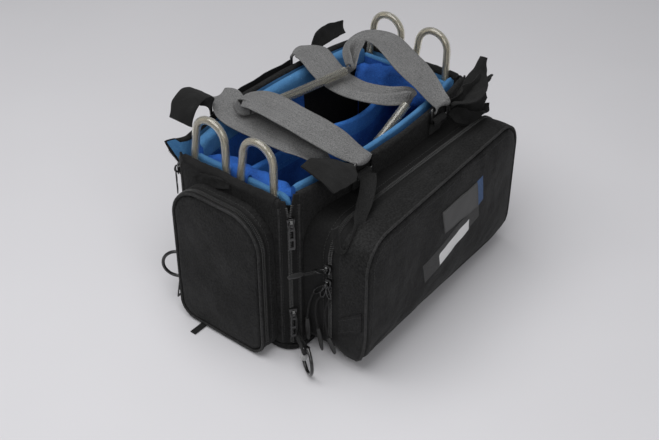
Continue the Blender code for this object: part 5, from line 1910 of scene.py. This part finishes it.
def hanging_pull(number, bail_foot, points, grip_foot, grip_wide):
    """A wire bail, a cord that hangs from it and a grip at the cord's foot."""
    way = (bail_foot - pin).normalized()
    side = way.cross(Vector((1, 0, 0))).normalized()
    span = (bail_foot - pin).length
    mesh = bar(f"pull_bail_{number}", bail(pin, way, side, span, BAIL_WIDE), BAIL_WIRE, 8, True)
    held = piece(mesh, dark_metal, "front_pocket_zip")
    path = [Vector(row) for row in route([list(p) for p in points], 6)]
    length = sum((b - a).length for a, b in zip(path, path[1:]))
    mesh = bar(f"pull_cord_{number}", path, CORD / 2, 8)
    cord = piece(mesh, black_webbing, "front_pocket_zip")
    span = (grip_foot - path[-1]).length
    way = (grip_foot - path[-1]).normalized()
    side = way.cross(Vector((1, 0, 0))).normalized()
    start = path[-1] - 0.002 * way
    mesh = grip_mesh(f"pull_grip_{number}", start, way, side, span, grip_wide, GRIP_THICK)
    grip = piece(mesh, rubber, "front_pocket_zip")
    for thing in (held, cord, grip):
        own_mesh(thing)
    return length


def hang(y, z, aside=0.0):
    return Vector((HANG_X - aside, y, z))


PULLS = [
    (hang(-0.1130, 0.101),
     [hang(-0.1125, 0.1005), hang(-0.1080, 0.088, 0.0005), hang(-0.1045, 0.072, 0.0010),
      hang(-0.1030, 0.054, 0.0012)],
     hang(-0.1045, 0.0205, 0.0015), 0.0078),
    (hang(-0.1240, 0.101, 0.0004),
     [hang(-0.1235, 0.1005), hang(-0.1170, 0.088, 0.0005), hang(-0.1160, 0.068, 0.0010),
      hang(-0.1200, 0.047, 0.0012)],
     hang(-0.1265, 0.0150, 0.0015), 0.0074),
    (hang(-0.1370, 0.104, 0.0002),
     [hang(-0.1365, 0.1035), hang(-0.1310, 0.085, 0.0010), hang(-0.1315, 0.064, 0.0014),
      hang(-0.1380, 0.0425, 0.0030)],
     hang(-0.1490, 0.0235, 0.0040), 0.0084),
]
lengths = [hanging_pull(number, *row) for number, row in enumerate(PULLS, 1)]
print("hanging cords", [round(length, 3) for length in lengths])

# %% [markdown]
# ## Patches on the front face
# A raised bare badge, a small woven tab and a strip of tape with a plain label lie on the front
# face. The face is a swollen cloth surface, so each patch is laid on it by casting rays at it: every
# point of the patch lands on the cloth and is lifted by the patch's own thickness.

# %% Laying patches
face_points = [vert.co for vert in front_cover.data.vertices]
face_tree = BVHTree.FromPolygons(face_points, [face.vertices[:] for face in front_cover.data.polygons])
PATCH_SINK = 0.0006


def on_face(x, z):
    """The place on the front face at x and z, and its way out."""
    spot, normal, _, _ = face_tree.ray_cast(Vector((x, -0.4, z)), Vector((0, 1, 0)))
    return spot, (normal if normal.y < 0 else -normal)


def laid_patch(name, corners, thick, finish, raised=None, cells=(16, 8)):
    """A patch between four corners (x, z), anticlockwise. raised adds height at its place (u, v)."""
    a, b, c, d = [Vector(corner) for corner in corners]
    rings = []
    for i in range(cells[0] + 1):
        u = i / cells[0]
        top, bottom = [], []
        for j in range(cells[1] + 1):
            v = j / cells[1]
            spot, out = on_face(*(a.lerp(b, u).lerp(d.lerp(c, u), v)))
            edge = 0.4 if i in (0, cells[0]) or j in (0, cells[1]) else 1.0
            top.append(spot + out * (edge * thick + (raised(u, v) if raised else 0.0)))
            bottom.append(spot - out * PATCH_SINK)
        rings.append(top + bottom[::-1])
    return piece(ring_mesh(name, rings), finish, "front_lid")


print("face points", len(face_points))

# %% Badge, tab, strip and label
BADGE_LONG, BADGE_HIGH = 0.084, 0.035
BORDER, BORDER_WIDE = 0.0007, 0.0014


def badge_edge(u, v):
    """A raised border round a bare plate."""
    rim = min(min(u, 1 - u) * BADGE_LONG, min(v, 1 - v) * BADGE_HIGH)
    return BORDER * (1 - smooth_step((rim - BORDER_WIDE) / 0.0008))


badge_rubber = make_moulded("badge_rubber", grey(0.045), grey(0.075), 0.55)
tab_weave = make_webbing("woven_tab", (0.03, 0.06, 0.14, 1), (0.08, 0.14, 0.27, 1), 0.0009)
strip_tape = make_webbing("tape_strip", grey(0.035), grey(0.075), 0.0008)
plain_label = make_moulded("plain_label", grey(0.62), grey(0.74), 0.6, 120.0)
BADGE = ((-0.0085, 0.1295), (0.0735, 0.1225), (0.0690, 0.1612), (-0.0130, 0.1622))
WOVEN_TAB = ((0.0738, 0.1225), (0.0880, 0.1255), (0.0850, 0.1620), (0.0692, 0.1612))
TAPE_STRIP = ((-0.0452, 0.0747), (0.0818, 0.1021), (0.0754, 0.1294), (-0.0532, 0.1058))
LABEL = ((-0.0147, 0.0835), (0.0574, 0.0950), (0.0546, 0.1140), (-0.0203, 0.1040))
laid_patch("front_badge", BADGE, 0.0013, badge_rubber, badge_edge, (84, 36))
laid_patch("front_woven_tab", WOVEN_TAB, 0.0008, tab_weave)
laid_patch("front_tape_strip", TAPE_STRIP, 0.0004, strip_tape, cells=(30, 8))
laid_patch("front_plain_label", LABEL, 0.0008, plain_label, cells=(20, 6))
print("patches laid")

# %% [markdown]
# ## Stitches on the front face
# A seam runs up the sides and over the top of the swollen face. A flat row would sink into the cloth
# or float over it, so its outline is cast on the face in the same way as the patches.

# %% Face seam
FACE_SEAM = 0.0125
rows = []
for x, z in zipped_part(front_arch(FACE_SEAM), FRONT_STEPS):
    spot, out = on_face(x, z)
    rows.append((spot + 0.0001 * out, out))
count = stitches("front_face_stitches", [rows], "front_lid")
print("front face stitches", count)

# %% [markdown]
# ## The band on the lid's near side
# A folded strip is sewn across the lid's near side with two rows of thread. The side is curved, so the
# strip asks the lid's own shape where it is, and needs no fitting.

# %% Side band
BAND_START, BAND_RUN = 0.009, 0.018
BAND_LOW, BAND_LOW_RISE = 0.0545, 0.021
BAND_HIGH, BAND_HIGH_RISE = 0.080, 0.024
BAND_STAND, BAND_THICK = 0.0022, 0.0020
SEAM_PLACES = (1, 6)
rings = []
for share in spread(0, 1, 13):
    y = ZIP_Y - BAND_START - BAND_RUN * share
    depth = ZIP_Y - y
    zs = spread(BAND_LOW + BAND_LOW_RISE * share, BAND_HIGH + BAND_HIGH_RISE * share, 8)
    outer = [Vector((FRONT_LEFT - BAND_STAND, lid_point(FRONT_LEFT, z, depth).y, z)) for z in zs]
    rings.append(outer + [point + Vector((BAND_THICK, 0, 0)) for point in outer[::-1]])
piece(crumple(ring_mesh("lid_side_band", rings), 0.0004, 0.01, 97), nylon, "front_lid")
rows = [[(ring[k] - Vector((0.0002, 0, 0)), Vector((-1, 0, 0))) for ring in rings] for k in SEAM_PLACES]
print("side band stitches", stitches("lid_side_stitches", rows, "front_lid"))

# %% [markdown]
# ## Bindings and keepers
# Worn hook tape binds the end panels' tops, and a velvet keeper holds each pair of wire loops. A
# binding is a half-round strip on the edge, and a keeper is one more band, so the same helpers do.

# %% Bindings and keepers
BINDING = 0.0056
KEEPER = 0.027
KEEPER_THICK = 0.0018
KEEPER_SEAMS = (-0.0095, 0.0095)


def make_binding(name, end):
    """A worn hook-tape binding along an end panel's top."""
    rings = []
    for y in spread(-FLAT - 0.004, FLAT + 0.004, 61):
        height = END_TOP - 0.0045 + 0.0006 * math.sin(y * 90)
        middle = HALF_LENGTH - WALL / 2
        rings.append([(end * (middle + BINDING * math.cos(a)), y, height + BINDING * math.sin(a))
                      for a in half_turn(-0.5, 11)])
    return crumple(ring_mesh(name, rings), 0.0009, 0.006, 91 + end)


for name, end in ENDS:
    mesh = make_binding(f"{name}_top_binding", end)
    piece(mesh, hook_tape, f"{name}_end")
    rim = PAD_X - END_PAD / 2
    path = [(rim - 0.0052, 0.160), (rim - 0.0056, 0.185), (rim - 0.0052, 0.208), (rim - 0.0042, 0.2195),
            (rim, 0.2238), (rim + 0.0042, 0.2195), (rim + 0.0046, 0.208)]
    rows = [[end * x, 0.0, z, 0, 1, 0, KEEPER, KEEPER_THICK] for x, z in path]
    mesh = crumple(band(f"{name}_loop_keeper", route(rows, 5), KEEPER), 0.0006, 0.01, 95 + end)
    piece(mesh, velvet, "case")
    inward = Vector((-end, 0, 0))
    rows = [[(Vector((end * (x - 0.0013), y, z)), inward) for x, z in path[:3]] for y in KEEPER_SEAMS]
    stitches(f"{name}_keeper_stitches", rows, "case", blue_thread)
print("bindings and keepers made")

# %% [markdown]
# ## Small pieces at the near end
# A scrap of hook tape is sewn to the near end panel, a short strap end sticks out under the near pocket,
# and a black web closes the near front corner behind its open zip. They are bands and a thin skin.

# %% Patch, strap end and web
PATCH_ROWS = [(0.0500, 0.2035, 0.013), (0.0360, 0.2100, 0.017), (0.0200, 0.2140, 0.016),
              (0.0050, 0.2170, 0.012), (-0.0040, 0.2190, 0.008)]
rows = [[-HALF_LENGTH - 0.0016, y, z, 0, 0.3, 1, width, 0.0022] for y, z, width in PATCH_ROWS]
mesh = crumple(band("near_hook_patch", route(rows, 8), 0.017), 0.0016, 0.007, 93)
piece(mesh, hook_tape, "near_end")
FOOT_TAIL = ((-0.2105, 0.0016), (-0.2180, 0.0013), (-0.2260, 0.0011), (-0.2345, 0.0010))
FOOT_TAIL_Y = 0.032
FOOT_TAIL_WIDE, FOOT_TAIL_THICK = 0.0085, 0.0014
rows = [[x, FOOT_TAIL_Y, z, 0, 1, 0, FOOT_TAIL_WIDE, FOOT_TAIL_THICK] for x, z in FOOT_TAIL]
piece(band("pocket_foot_tail", route(rows, 6), FOOT_TAIL_WIDE), black_webbing, "near_lid")
WEB_OUTER, WEB_INNER = 0.0058, 0.0066
rings = []
for z in spread(0.110, 0.2180, 9):
    row = [corner_place(-1, -1, angle, z, True) for angle in spread(16, 82, 12)]
    outer = [place - way * WEB_OUTER for place, way in row]
    rings.append(outer + [place - way * WEB_INNER for place, way in row[::-1]])
piece(ring_mesh("near_corner_web", rings), dark_nylon_and_painted_shade, "case")
print("small pieces made")

# %% [markdown]
# ## The flap on the back rim
# A thin flap of lining stands along the middle of the back rim, and its edge curls a little. It follows
# the bowed wall, so its section is carried along the wall's own curve.

# %% Flap
FLAP_HALF = 0.057
FLAP_CURL = 0.0008
rings = []
for x in spread(-FLAP_HALF, FLAP_HALF, 31):
    curl = FLAP_CURL * math.sin(x * 130)
    rows = [(0.0004, 0.208), (0.0018, 0.224), (0.0030, 0.2335), (0.0022 + curl, 0.2392),
            (0.0010 + curl, 0.2390), (0.0016, 0.2325), (0.0004, 0.223), (-0.0004, 0.208)]
    rings.append([(x, wall_y(x, z) + depth, z) for depth, z in rows])
piece(crumple(ring_mesh("back_rim_flap", rings), 0.0005, 0.012, 98), dark_nylon_and_painted_shade, "case")
print("flap made")

# %% [markdown]
# ## Black lining
# Beyond the divider's dip the bag is lined in black. The pads there could be painted by face, but the
# lining is loose cloth with an edge of its own, so it is a thin skin just inside the pads.

# %% Lining behind the divider
LINING_START = 0.052
LINING_LOW = 0.014
SHEET = 0.0008


def lining_patch(name, places):
    """A thin sheet through rows of points, each row from the floor up."""
    rings = []
    for row in places:
        rings.append([point for point, _ in row] + [point - SHEET * out for point, out in row[::-1]])
    piece(crumple(ring_mesh(name, rings), 0.0005, 0.02, 99), dark_nylon_and_painted_shade, "case")


rows = []
for x in spread(LINING_START, STRAIGHT - 0.004, 15):
    row = []
    for z in spread(LINING_LOW, RIM - ROLL_DROP - 0.004, 10):
        inner = wall_y(x, z) - WALL - SLOT - PAD - 0.0012
        row.append((Vector((x, inner, z)), Vector((0, -1, 0))))
    rows.append(row)
lining_patch("back_black_lining", rows)
x = PAD_X - END_PAD - 0.0018
zs = spread(LINING_LOW, 0.190, 10)
rows = []
for y in spread(divider_y(0.15) + 0.012, 0.073, 9):
    rows.append([(Vector((x, y, z)), Vector((-1, 0, 0))) for z in zs])
lining_patch("far_black_lining", rows)
print("lining made")

# %% [markdown]
# ## Floor and light
# The bag stands on pale paper in soft light. A picture of a room could light it, but this script reads
# no pictures, so two soft lamps and an even pale world do. The floor is only the stage.

# %% Floor, world and lamps
FLOOR = 4.0
FLOOR_Z = -0.0004
WORLD_STRENGTH = 0.30
floor = bpy.data.meshes.new("studio_floor")
corners = [(-FLOOR, -FLOOR), (FLOOR, -FLOOR), (FLOOR, FLOOR), (-FLOOR, FLOOR)]
floor.from_pydata([(x, y, FLOOR_Z) for x, y in corners], [], [(0, 1, 2, 3)])
paper = Finish("floor_paper")
shade = paper.noise(3.0, 3.0)
floor.materials.append(paper.done(paper.mix(shade, (0.585, 0.58, 0.60, 1), (0.625, 0.62, 0.64, 1)), 0.8))
ground = bpy.data.objects.new("studio_floor", floor)
scene.collection.objects.link(ground)
ground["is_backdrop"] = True

world = bpy.data.worlds.new("studio_world")
scene.world = world
world.use_nodes = True
background = world.node_tree.nodes["Background"]
background.inputs["Color"].default_value = (0.86, 0.86, 0.88, 1)
background.inputs["Strength"].default_value = WORLD_STRENGTH


def soft_lamp(name, place, aim, size, power):
    lamp = bpy.data.lights.new(name, "AREA")
    lamp.shape = "RECTANGLE"
    lamp.size, lamp.size_y = size
    lamp.energy = power
    thing = bpy.data.objects.new(name, lamp)
    thing.location = place
    thing.rotation_euler = (Vector(aim) - Vector(place)).to_track_quat("-Z", "Y").to_euler()
    scene.collection.objects.link(thing)


soft_lamp("overhead_softbox", (-0.5, 0.15, 1.9), (0, 0, 0.1), (1.9, 1.9), 37)
soft_lamp("front_softbox", (-1.15, -1.45, 1.3), (0, 0, 0.12), (1.2, 1.0), 11)
print("lamps set")

# %% [markdown]
# ## The open lid
# The big lid is soft. Opened flat it rests on its bulging face, which gives way. A simulation of each
# pose would be slow; here each piece on the lid only gets its own copy of its mesh.

# %% Give the lid's pieces their own meshes
for thing in on_front_lid:
    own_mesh(thing)
print("lid pieces that flatten", len(on_front_lid))

# %% [markdown]
# ## Sizes
# The box of the dressed bag is printed at the end.

# %% Finish
low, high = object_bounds()
print("visual box", [round(v, 4) for v in low], [round(v, 4) for v in high])
